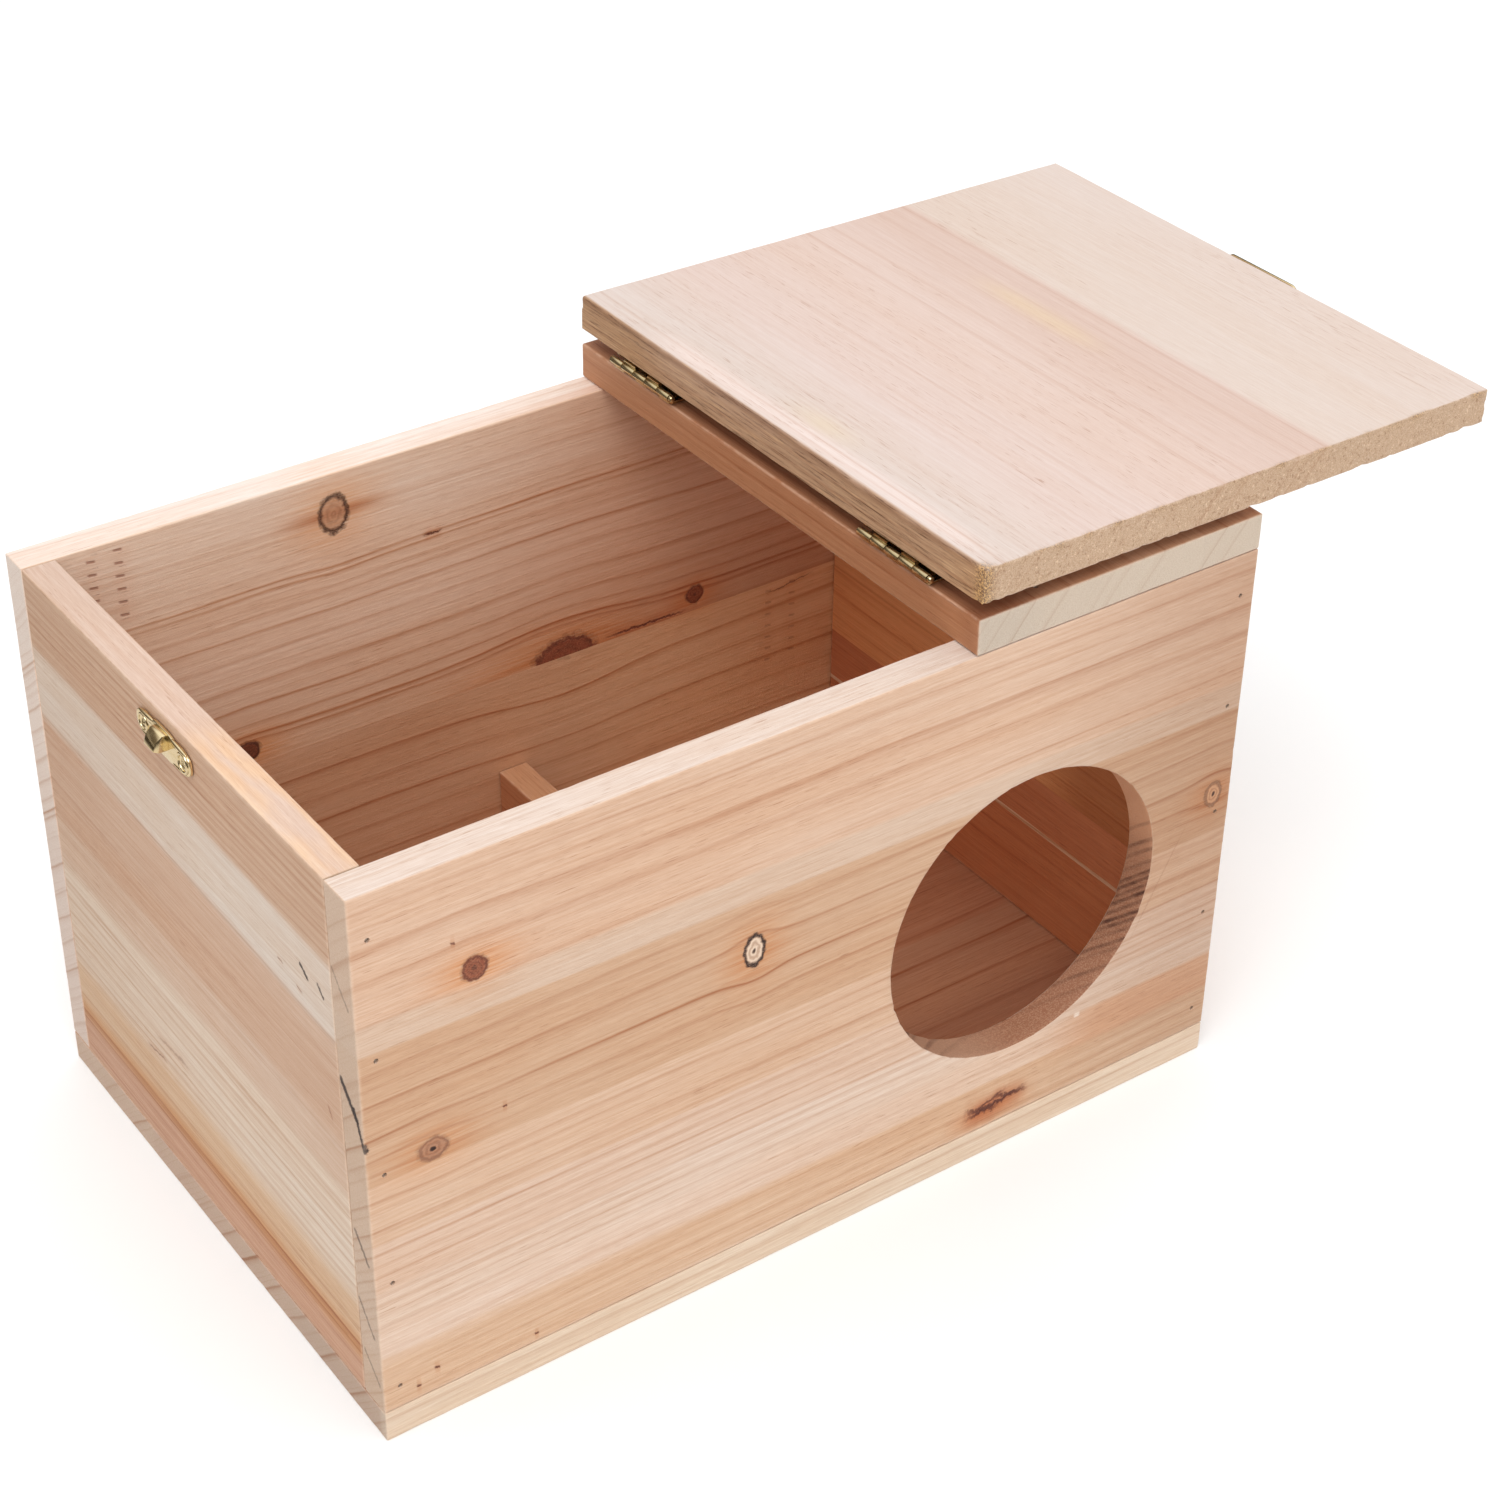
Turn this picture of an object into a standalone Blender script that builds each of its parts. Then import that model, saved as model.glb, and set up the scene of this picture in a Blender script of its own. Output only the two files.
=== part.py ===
"""Small wooden nesting box with a fixed roof board, a hinged lid folded open over it, and a brass latch.

The box is edge-glued softwood board: a floor under four walls, with the end walls held between the long
walls. A low partition keeps the nest behind the round entrance. Two butt hinges join the lid to the roof
board, and a hinged hasp on the lid's free edge swings over a hook on the left end wall.

Metres, +Z up. The origin is the centre of the floor board's underside, and X runs along the front.
"""
import math

import bmesh
import bpy
from mathutils import Matrix, Vector

# Boards
BOX_LENGTH = 0.300
BOX_DEPTH = 0.200
FLOOR_THICKNESS = 0.0105
WALL_HEIGHT = 0.176
LONG_WALL_THICKNESS = 0.011
END_WALL_THICKNESS = 0.0105
PARTITION_THICKNESS = 0.0105
PARTITION_HEIGHT = 0.0468
PARTITION_X = 0.00825
ROOF_THICKNESS = 0.0114
ROOF_WIDTH = 0.1041
LID_LENGTH = 0.1925
LID_DEPTH = 0.2006
LID_THICKNESS = 0.0112
GAP = 0.0003
BOARD_ROUND = 0.0004

# Entrance
HOLE_RADIUS = 0.0495
HOLE_X = 0.0706
HOLE_Z = 0.088
HOLE_SEGMENTS = 96

# Butt hinges
AXIS_OVER_ROOF = 0.00255
SEAM = 0.0008
LID_REST_TILT = math.radians(0.5)
HINGE_LENGTH = 0.032
HINGE_CENTRES = {"front": -0.062, "back": 0.0655}
KNUCKLE_COUNT = 5
KNUCKLE_RADIUS = 0.0013
KNUCKLE_BORE = 0.0008
PIN_RADIUS = 0.0005
PIN_HEAD_RADIUS = 0.0011
LEAF_WIDTH = 0.0105
LEAF_THICKNESS = 0.0008
LEAF_SCREW_OUT = 0.0068
LEAF_SCREW_SPREAD = 0.0095

# Latch
LATCH_Y = -0.002
PLATE_WIDTH = 0.032
PLATE_THICKNESS = 0.0008
PLATE_CORNER = 0.0026
PLATE_SCREW_SPREAD = 0.0118
CATCH_HEIGHT = 0.0096
CATCH_Z = 0.1790
HOOK_WIDTH = 0.007
HOOK_REACH = 0.0046
HOOK_DROP = 0.0046
HOOK_BEND = 0.0012
HOOK_ROOT_Z = 0.1830
HASP_HEIGHT = 0.0066
HASP_BELOW_LID_FACE = 0.0034
HASP_STANDOFF = 0.0028
HASP_KNUCKLE_RADIUS = 0.0015
HASP_BORE = 0.001
HASP_PIN_RADIUS = 0.0007
TONGUE_WIDTH = 0.012
TONGUE_LENGTH = 0.0165
TONGUE_LIP = 0.0016
SLOT_WIDTH = 0.0076
SLOT_NEAR = 0.0057
SLOT_FAR = 0.0131

# Screws and brads
SCREW_HEAD_RADIUS = 0.00175
SCREW_HEAD_DEPTH = 0.0008
SCREW_SHANK_RADIUS = 0.0009
SCREW_LENGTH = 0.0082
SCREW_PILOT_RADIUS = 0.0012
BRAD_HEAD_RADIUS = 0.00075
BRAD_SHANK_RADIUS = 0.0006
BRAD_LENGTH = 0.024
BRAD_SET = 0.0004
BRAD_HOLE_RADIUS = 0.00105
FRONT_BRAD_HEIGHTS = (0.0188, 0.0573, 0.0958, 0.1343, 0.1728)
BACK_BRAD_HEIGHTS = (0.0250, 0.0745, 0.1240, 0.1735)
FLOOR_BRAD_X = 0.118
ROOF_BRAD_X = (0.070, 0.138)
PARTITION_BRAD_Y = 0.050

SMALL_STEPS = 12
ROUND_STEPS = 20
MERGE = 0.00001

# Levels that follow from the dimensions
FLOOR_TOP = FLOOR_THICKNESS + GAP
WALL_TOP = FLOOR_THICKNESS + GAP + WALL_HEIGHT
ROOF_TOP = WALL_TOP + GAP + ROOF_THICKNESS
AXIS_Z = ROOF_TOP + AXIS_OVER_ROOF
AXIS_X = BOX_LENGTH / 2 - ROOF_WIDTH - SEAM / 2
LID_LOW = AXIS_Z + AXIS_OVER_ROOF
LID_HIGH = LID_LOW + LID_THICKNESS
LID_NEAR_X = AXIS_X + SEAM / 2
LID_FREE_X = LID_NEAR_X + LID_LENGTH
INNER_Y = BOX_DEPTH / 2 - LONG_WALL_THICKNESS - GAP
LONG_WALL_MID = BOX_DEPTH / 2 - LONG_WALL_THICKNESS / 2
END_WALL_MID = BOX_LENGTH / 2 - END_WALL_THICKNESS / 2
LEAF_LOW = -AXIS_OVER_ROOF + GAP
HASP_X = LID_FREE_X + HASP_STANDOFF
HASP_Z = LID_HIGH - HASP_BELOW_LID_FACE

FORWARD = Vector((0, -1, 0))
BACKWARD = Vector((0, 1, 0))
LEFT = Vector((-1, 0, 0))
RIGHT = Vector((1, 0, 0))
UP = Vector((0, 0, 1))
DOWN = Vector((0, 0, -1))


def new_collection(name):
    collection = bpy.data.collections.new(name)
    bpy.context.scene.collection.children.link(collection)
    return collection


def finish(name, color, roughness, metallic=0.0):
    """A Principled material with one colour."""
    material = bpy.data.materials.new(name)
    material.use_nodes = True
    shader = material.node_tree.nodes["Principled BSDF"]
    shader.inputs["Base Color"].default_value = (*color, 1.0)
    shader.inputs["Roughness"].default_value = roughness
    shader.inputs["Metallic"].default_value = metallic
    material.diffuse_color = (*color, 1.0)
    return material


def place(mesh, name, location, collection, parent=None):
    """An object for a mesh. The location is the world's, also under a parent that sits there level."""
    item = bpy.data.objects.new(name, mesh)
    collection.objects.link(item)
    item.location = Vector(location)
    if parent is not None:
        item.parent = parent
        item.location -= parent_origin(parent)
    return item


def parent_origin(empty):
    """Where an empty lies before the lid's tilt, through its own parents."""
    origin = Vector(empty.location)
    while empty.parent is not None:
        empty = empty.parent
        origin += empty.location
    return origin


def pivot(name, location, collection, parent=None):
    """An empty on a joint's axis."""
    return place(None, name, location, collection, parent)


def box_mesh(name, size, corner_axis=None, corner=0.0):
    """A box about its own centre. A corner radius rounds the four edges along one axis."""
    shape = bmesh.new()
    bmesh.ops.create_cube(shape, size=1.0)
    bmesh.ops.scale(shape, vec=size, verts=shape.verts)
    if corner_axis is not None:
        edges = [e for e in shape.edges
                 if abs((e.verts[0].co - e.verts[1].co)[corner_axis]) > 0.9 * size[corner_axis]]
        bmesh.ops.bevel(shape, geom=edges, offset=corner, segments=4, affect="EDGES", profile=0.5)
    mesh = bpy.data.meshes.new(name)
    shape.to_mesh(mesh)
    shape.free()
    return mesh


def add_bevel(item, width, segments=1):
    bevel = item.modifiers.new("arris", "BEVEL")
    bevel.width = width
    bevel.segments = segments
    bevel.limit_method = "ANGLE"


def add_boolean(item, other, operation):
    tool = item.modifiers.new(other.name, "BOOLEAN")
    tool.operation = operation
    tool.solver = "EXACT"
    tool.object = other


def board(name, low, high, material, parent=None):
    """A sawn board between two corners, with its arrises just broken."""
    low, high = Vector(low), Vector(high)
    item = place(box_mesh(name, high - low), name, (low + high) / 2, PARTS, parent)
    item.data.materials.append(material)
    add_bevel(item, BOARD_ROUND)
    return item


def as_tool(item):
    item.hide_render = True
    item.display_type = "WIRE"
    return item


def steps_round(radius):
    """How many sides a round piece gets, by its size."""
    if radius >= HOLE_RADIUS:
        return HOLE_SEGMENTS
    return ROUND_STEPS if radius >= HASP_KNUCKLE_RADIUS else SMALL_STEPS


def rods(name, entries, parent=None):
    """Round rods in one cutter. Each entry is (start, direction, length, radius, end radius)."""
    shape = bmesh.new()
    for start, direction, length, radius, end_radius in entries:
        middle = Vector(start) + direction * length / 2
        turn = UP.rotation_difference(direction).to_matrix().to_4x4()
        bmesh.ops.create_cone(shape, cap_ends=True, segments=steps_round(radius), radius1=radius,
                              radius2=end_radius, depth=length, matrix=Matrix.Translation(middle) @ turn)
    mesh = bpy.data.meshes.new(name)
    shape.to_mesh(mesh)
    shape.free()
    tool = as_tool(place(mesh, name, (0, 0, 0), TOOLS))
    if parent is not None:
        tool.parent = parent
        tool.location = -parent_origin(parent)
    return tool


def drill(item, name, entries, parent=None):
    add_boolean(item, rods(name, entries, parent), "DIFFERENCE")


def turned(name, profile, location, direction, material, parent=None):
    """A piece turned about its own axis. The profile runs from its head down its outer side."""
    mesh = bpy.data.meshes.new(name)
    points = [(radius, 0.0, height) for radius, height in profile]
    mesh.from_pydata(points, [(i, i + 1) for i in range(len(points) - 1)], [])
    item = place(mesh, name, location, PARTS, parent)
    item.data.materials.append(material)
    item.rotation_mode = "QUATERNION"
    item.rotation_quaternion = UP.rotation_difference(direction)
    lathe = item.modifiers.new("lathe", "SCREW")
    lathe.axis = "Z"
    lathe.steps = SMALL_STEPS
    lathe.render_steps = SMALL_STEPS
    lathe.use_merge_vertices = True
    lathe.merge_threshold = MERGE
    lathe.use_smooth_shade = False
    return item


def brad(name, entry, direction, material):
    """A headed brad that starts just under the face it is driven into. Direction is the way it points."""
    head = 0.0008
    profile = ((0, 0), (BRAD_HEAD_RADIUS, 0), (BRAD_HEAD_RADIUS, -head), (BRAD_SHANK_RADIUS, -head - 0.0003),
               (BRAD_SHANK_RADIUS, -BRAD_LENGTH + 0.0015), (0, -BRAD_LENGTH))
    return turned(name, profile, Vector(entry) + direction * BRAD_SET, -direction, material)


def brad_hole(entry, direction, depth):
    return (Vector(entry) - direction * 0.001, direction, depth + 0.001, BRAD_HOLE_RADIUS, BRAD_HOLE_RADIUS)


def screw(name, seat, direction, material, parent=None):
    """A countersunk screw whose head lies flush at the seat. Direction is the way it points."""
    profile = ((0, 0), (SCREW_HEAD_RADIUS, 0), (SCREW_SHANK_RADIUS, -SCREW_HEAD_DEPTH),
               (SCREW_SHANK_RADIUS, -SCREW_LENGTH + 0.002), (0, -SCREW_LENGTH))
    return turned(name, profile, seat, -direction, material, parent)


def screw_pilot(seat, direction):
    return (Vector(seat), direction, SCREW_LENGTH + 0.0005, SCREW_PILOT_RADIUS, SCREW_PILOT_RADIUS)


def countersink(seat, direction):
    start = Vector(seat) - direction * 0.0002
    return (start, direction, LEAF_THICKNESS + 0.0005, SCREW_HEAD_RADIUS + 0.0006, SCREW_PILOT_RADIUS - 0.0001)


def make_carcass(pine):
    """Floor, walls and partition, before any hole."""
    half_l, half_w = BOX_LENGTH / 2, BOX_DEPTH / 2
    items = {
        "floor_board": ((-half_l, -half_w, 0), (half_l, half_w, FLOOR_THICKNESS)),
        "front_wall": ((-half_l, -half_w, FLOOR_TOP), (half_l, LONG_WALL_THICKNESS - half_w, WALL_TOP)),
        "back_wall": ((-half_l, half_w - LONG_WALL_THICKNESS, FLOOR_TOP), (half_l, half_w, WALL_TOP)),
        "left_end_wall": ((-half_l, -INNER_Y, FLOOR_TOP), (END_WALL_THICKNESS - half_l, INNER_Y, WALL_TOP)),
        "right_end_wall": ((half_l - END_WALL_THICKNESS, -INNER_Y, FLOOR_TOP), (half_l, INNER_Y, WALL_TOP)),
        "partition": ((PARTITION_X - PARTITION_THICKNESS / 2, -INNER_Y, FLOOR_TOP),
                      (PARTITION_X + PARTITION_THICKNESS / 2, INNER_Y, FLOOR_TOP + PARTITION_HEIGHT)),
        "fixed_roof_board": ((half_l - ROOF_WIDTH, -half_w, WALL_TOP + GAP), (half_l, half_w, ROOF_TOP)),
    }
    return {name: board(name, low, high, pine) for name, (low, high) in items.items()}


def cut_entrance(front_wall):
    start = Vector((HOLE_X, -BOX_DEPTH / 2 - 0.005, HOLE_Z))
    depth = LONG_WALL_THICKNESS + 0.010
    drill(front_wall, "entrance_cutter", [(start, BACKWARD, depth, HOLE_RADIUS, HOLE_RADIUS)])


def brad_rows():
    """Every brad as (name, entry point, direction, board it is driven through, board it ends in)."""
    half_w = BOX_DEPTH / 2
    rows = []
    ends = (("left", -END_WALL_MID), ("right", END_WALL_MID))
    for side, heights, y, direction in (("front", FRONT_BRAD_HEIGHTS, -half_w, BACKWARD),
                                        ("back", BACK_BRAD_HEIGHTS, half_w, FORWARD)):
        for end, x in ends:
            for number, z in enumerate(heights, 1):
                rows.append((f"{side}_{end}_brad_{number}", (x, y, z), direction,
                             f"{side}_wall", f"{end}_end_wall"))
    for side, y in (("front", -LONG_WALL_MID), ("back", LONG_WALL_MID)):
        for number, x in enumerate(ROOF_BRAD_X, 1):
            rows.append((f"roof_{side}_brad_{number}", (x, y, ROOF_TOP), DOWN,
                         "fixed_roof_board", f"{side}_wall"))
        for number, x in enumerate((-FLOOR_BRAD_X, FLOOR_BRAD_X), 1):
            rows.append((f"floor_{side}_brad_{number}", (x, y, 0), UP, "floor_board", f"{side}_wall"))
    for number, y in enumerate((-PARTITION_BRAD_Y, PARTITION_BRAD_Y), 1):
        rows.append((f"partition_brad_{number}", (PARTITION_X, y, 0), UP, "floor_board", "partition"))
    return rows


def nail_together(boards, steel):
    """Brads at every joint, each in a pilot hole through one board and into the next."""
    holes = {name: [] for name in boards}
    for name, entry, direction, through, into in brad_rows():
        brad(name, entry, direction, steel)
        hole = brad_hole(entry, direction, BRAD_LENGTH + BRAD_SET + 0.0005)
        holes[through].append(hole)
        holes[into].append(hole)
    for name, entries in holes.items():
        if entries:
            drill(boards[name], f"{name}_brad_holes", entries)


def knuckle_spans(length, count, owner, centre):
    """The Y ranges of one leaf's knuckles. Owner 0 has the first and every other one."""
    step = length / count
    spans = []
    for index in range(owner, count, 2):
        low = centre - length / 2 + index * step
        spans.append((low + GAP / 2, low + step - GAP / 2))
    return spans


def hinge_leaf(name, centre, side, brass, parent=None):
    """One leaf. Side -1 lies on the roof board under the axis, and side 1 on the lid over it."""
    owner = 0 if side < 0 else 1
    other = 1 - owner
    middle_z = AXIS_Z - side * (LEAF_LOW + LEAF_THICKNESS / 2)
    size = Vector((LEAF_WIDTH, HINGE_LENGTH, LEAF_THICKNESS))
    leaf = place(box_mesh(name, size), name, (AXIS_X + LEAF_WIDTH / 2, centre, middle_z), PARTS, parent)
    leaf.data.materials.append(brass)
    for number, (low, high) in enumerate(knuckle_spans(HINGE_LENGTH, KNUCKLE_COUNT, other, centre)):
        notch_size = Vector((2 * (KNUCKLE_RADIUS + GAP), high - low + 2 * GAP, 4 * LEAF_THICKNESS))
        notch = place(box_mesh(f"{name}_notch_{number}", notch_size), f"{name}_notch_{number}",
                      (AXIS_X, (low + high) / 2, middle_z), TOOLS, parent)
        add_boolean(leaf, as_tool(notch), "DIFFERENCE")
    spans = knuckle_spans(HINGE_LENGTH, KNUCKLE_COUNT, owner, centre)
    barrels = [(Vector((AXIS_X, low, AXIS_Z)), BACKWARD, high - low, KNUCKLE_RADIUS, KNUCKLE_RADIUS)
               for low, high in spans]
    add_boolean(leaf, rods(f"{name}_barrels", barrels, parent), "UNION")
    neck_size = Vector((KNUCKLE_RADIUS, spans[0][1] - spans[0][0], -LEAF_LOW - LEAF_THICKNESS - 0.0004))
    for number, (low, high) in enumerate(spans):
        middle = Vector((AXIS_X + KNUCKLE_RADIUS / 2, (low + high) / 2,
                         AXIS_Z - side * (LEAF_LOW + LEAF_THICKNESS + neck_size.z / 2 - 0.0002)))
        neck = place(box_mesh(f"{name}_neck_{number}", neck_size), f"{name}_neck_{number}", middle, TOOLS, parent)
        add_boolean(leaf, as_tool(neck), "UNION")
    bore = [(Vector((AXIS_X, centre - HINGE_LENGTH, AXIS_Z)), BACKWARD, 2 * HINGE_LENGTH,
             KNUCKLE_BORE, KNUCKLE_BORE)]
    drill(leaf, f"{name}_bore", bore, parent)
    return leaf


def make_hinge(label, centre, roof_board, lid, lid_axis, brass):
    """Two leaves, a pin and four screws."""
    fixed = hinge_leaf(f"{label}_hinge_fixed_leaf", centre, -1, brass)
    moving = hinge_leaf(f"{label}_hinge_lid_leaf", centre, 1, brass, lid_axis)
    reach = HINGE_LENGTH / 2 + 0.0006
    profile = ((0, reach + 0.0009), (PIN_HEAD_RADIUS * 0.7, reach + 0.0009), (PIN_HEAD_RADIUS, reach + 0.0004),
               (PIN_HEAD_RADIUS, reach), (PIN_RADIUS, reach), (PIN_RADIUS, -reach), (0, -reach))
    turned(f"{label}_hinge_pin", profile, (AXIS_X, centre, AXIS_Z), FORWARD, brass)
    top = LEAF_LOW + LEAF_THICKNESS
    for number, offset in enumerate((-LEAF_SCREW_SPREAD, LEAF_SCREW_SPREAD), 1):
        seat = Vector((AXIS_X + LEAF_SCREW_OUT, centre + offset, AXIS_Z + top))
        screw(f"{label}_hinge_fixed_screw_{number}", seat, DOWN, brass)
        drill(fixed, f"{label}_fixed_countersink_{number}", [countersink(seat, DOWN)])
        drill(roof_board, f"{label}_fixed_pilot_{number}", [screw_pilot(seat, DOWN)])
        seat = Vector((AXIS_X + LEAF_SCREW_OUT, centre + offset, AXIS_Z - top))
        screw(f"{label}_hinge_lid_screw_{number}", seat, UP, brass, lid_axis)
        drill(moving, f"{label}_lid_countersink_{number}", [countersink(seat, UP)], lid_axis)
        drill(lid, f"{label}_lid_pilot_{number}", [screw_pilot(seat, UP)], lid_axis)


def make_lid(pine, lid_axis):
    low = (LID_NEAR_X, -LID_DEPTH / 2 - GAP, LID_LOW)
    high = (LID_FREE_X, LID_DEPTH / 2 - GAP, LID_HIGH)
    return board("lid", low, high, pine, lid_axis)


def bent_strip(name, path, width, centre_y, thickness, parent=None):
    """A strip of sheet that follows a path of (x, z) points, as wide as given along Y."""
    points = [Vector((x, centre_y + s * width / 2, z)) for x, z in path for s in (-1, 1)]
    faces = [(2 * i, 2 * i + 1, 2 * i + 3, 2 * i + 2) for i in range(len(path) - 1)]
    mesh = bpy.data.meshes.new(name)
    mesh.from_pydata(points, [], faces)
    strip = place(mesh, name, (0, 0, 0), TOOLS)
    if parent is not None:
        strip.parent = parent
        strip.location = -parent_origin(parent)
    sheet = strip.modifiers.new("sheet", "SOLIDIFY")
    sheet.thickness = thickness
    sheet.offset = 0.0
    return strip


def arc(centre, radius, start, end, steps):
    """Points (x, z) along an arc, angles in degrees from +X towards +Z."""
    angles = [math.radians(start + (end - start) * i / steps) for i in range(steps + 1)]
    return [(centre[0] + radius * math.cos(a), centre[1] + radius * math.sin(a)) for a in angles]


def make_catch(left_wall, brass):
    """A plate on the left end wall with a hook that reaches out and turns down."""
    face_x = -BOX_LENGTH / 2
    plate_x = face_x - GAP - PLATE_THICKNESS / 2
    size = Vector((PLATE_THICKNESS, PLATE_WIDTH, CATCH_HEIGHT))
    plate = place(box_mesh("catch_plate", size, 0, PLATE_CORNER), "catch_plate",
                  (plate_x, LATCH_Y, CATCH_Z), PARTS)
    plate.data.materials.append(brass)
    tip_x = plate_x - HOOK_REACH
    bend = arc((tip_x + HOOK_BEND, HOOK_ROOT_Z - HOOK_BEND), HOOK_BEND, 90, 180, 4)
    path = [(plate_x, HOOK_ROOT_Z)] + bend + [(tip_x, HOOK_ROOT_Z - HOOK_DROP)]
    hook = as_tool(bent_strip("catch_hook", path, HOOK_WIDTH, LATCH_Y, PLATE_THICKNESS))
    add_boolean(plate, hook, "UNION")
    for number, offset in enumerate((-PLATE_SCREW_SPREAD, PLATE_SCREW_SPREAD), 1):
        seat = Vector((face_x - GAP - PLATE_THICKNESS, LATCH_Y + offset, CATCH_Z))
        screw(f"catch_screw_{number}", seat, RIGHT, brass)
        drill(plate, f"catch_countersink_{number}", [countersink(seat, RIGHT)])
        drill(left_wall, f"catch_pilot_{number}", [screw_pilot(seat, RIGHT)])


def hasp_barrel(centre_y, width, radius, name, parent):
    start = Vector((HASP_X, centre_y - width / 2, HASP_Z))
    return rods(name, [(start, BACKWARD, width, radius, radius)], parent)


def make_hasp(lid, lid_axis, hasp_axis, brass):
    """A plate on the lid's free edge, and a slotted tongue that hangs from it by a pin."""
    middle = TONGUE_WIDTH * 0.4
    side = (TONGUE_WIDTH - middle) / 2 - GAP
    plate_x = LID_FREE_X + GAP + PLATE_THICKNESS / 2
    size = Vector((PLATE_THICKNESS, PLATE_WIDTH, HASP_HEIGHT))
    plate = place(box_mesh("hasp_plate", size, 0, PLATE_CORNER), "hasp_plate",
                  (plate_x, LATCH_Y, HASP_Z), PARTS, lid_axis)
    plate.data.materials.append(brass)
    web_size = Vector((HASP_STANDOFF - GAP - PLATE_THICKNESS / 2, middle, HASP_KNUCKLE_RADIUS))
    web = place(box_mesh("hasp_web", web_size), "hasp_web", (plate_x + web_size.x / 2, LATCH_Y, HASP_Z),
                TOOLS, lid_axis)
    add_boolean(plate, as_tool(web), "UNION")
    add_boolean(plate, hasp_barrel(LATCH_Y, middle, HASP_KNUCKLE_RADIUS, "hasp_plate_barrel", lid_axis), "UNION")
    add_boolean(plate, hasp_barrel(LATCH_Y, 2 * middle, HASP_BORE, "hasp_plate_bore", lid_axis), "DIFFERENCE")
    for number, offset in enumerate((-PLATE_SCREW_SPREAD, PLATE_SCREW_SPREAD), 1):
        seat = Vector((plate_x + PLATE_THICKNESS / 2, LATCH_Y + offset, HASP_Z))
        screw(f"hasp_screw_{number}", seat, LEFT, brass, lid_axis)
        drill(plate, f"hasp_countersink_{number}", [countersink(seat, LEFT)], lid_axis)
        drill(lid, f"hasp_pilot_{number}", [screw_pilot(seat, LEFT)], lid_axis)

    leaf_x = HASP_X - HASP_KNUCKLE_RADIUS + PLATE_THICKNESS / 2 + GAP / 3
    low_z = HASP_Z - TONGUE_LENGTH
    lip = arc((leaf_x - TONGUE_LIP, low_z), TONGUE_LIP, 0, -70, 4)
    tongue = bent_strip("hasp_tongue", [(leaf_x, HASP_Z)] + lip, TONGUE_WIDTH, LATCH_Y, PLATE_THICKNESS, hasp_axis)
    TOOLS.objects.unlink(tongue)
    PARTS.objects.link(tongue)
    tongue.data.materials.append(brass)
    for number, sign in enumerate((-1, 1)):
        centre_y = LATCH_Y + sign * (middle + side + 2 * GAP) / 2
        barrel = hasp_barrel(centre_y, side, HASP_KNUCKLE_RADIUS, f"tongue_barrel_{number}", hasp_axis)
        add_boolean(tongue, barrel, "UNION")
    window_size = Vector((4 * PLATE_THICKNESS, middle + 2 * GAP, 2 * (HASP_KNUCKLE_RADIUS + GAP)))
    window = place(box_mesh("tongue_notch", window_size), "tongue_notch", (HASP_X, LATCH_Y, HASP_Z),
                   TOOLS, hasp_axis)
    add_boolean(tongue, as_tool(window), "DIFFERENCE")
    slot_size = Vector((6 * PLATE_THICKNESS, SLOT_WIDTH, SLOT_FAR - SLOT_NEAR))
    slot = place(box_mesh("tongue_slot", slot_size, 0, 0.0012), "tongue_slot",
                 (leaf_x, LATCH_Y, HASP_Z - (SLOT_NEAR + SLOT_FAR) / 2), TOOLS, hasp_axis)
    add_boolean(tongue, as_tool(slot), "DIFFERENCE")
    add_boolean(tongue, hasp_barrel(LATCH_Y, 2 * TONGUE_WIDTH, HASP_BORE, "tongue_bore", hasp_axis), "DIFFERENCE")
    reach = TONGUE_WIDTH / 2 + 0.0004
    profile = ((0, reach), (HASP_PIN_RADIUS, reach), (HASP_PIN_RADIUS, -reach), (0, -reach))
    turned("hasp_pin", profile, (HASP_X, LATCH_Y, HASP_Z), FORWARD, brass, lid_axis)


def main():
    pine = finish("pine", (0.68, 0.47, 0.32), 0.65)
    pale_pine = finish("pale_pine", (0.82, 0.66, 0.54), 0.6)
    brass = finish("brass", (0.80, 0.62, 0.28), 0.3, 1.0)
    steel = finish("steel", (0.45, 0.44, 0.43), 0.4, 1.0)

    boards = make_carcass(pine)
    cut_entrance(boards["front_wall"])
    nail_together(boards, steel)

    lid_axis = pivot("lid_axis", (AXIS_X, 0, AXIS_Z), PARTS)
    hasp_axis = pivot("hasp_axis", (HASP_X, LATCH_Y, HASP_Z), PARTS, lid_axis)
    lid = make_lid(pale_pine, lid_axis)
    for label, centre in HINGE_CENTRES.items():
        make_hinge(label, centre, boards["fixed_roof_board"], lid, lid_axis, brass)
    make_catch(boards["left_end_wall"], brass)
    make_hasp(lid, lid_axis, hasp_axis, brass)
    lid_axis.rotation_euler = (0, LID_REST_TILT, 0)


for leftover in list(bpy.data.objects):
    bpy.data.objects.remove(leftover)
PARTS = new_collection("nesting_box")
TOOLS = new_collection("cutters")
main()
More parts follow.
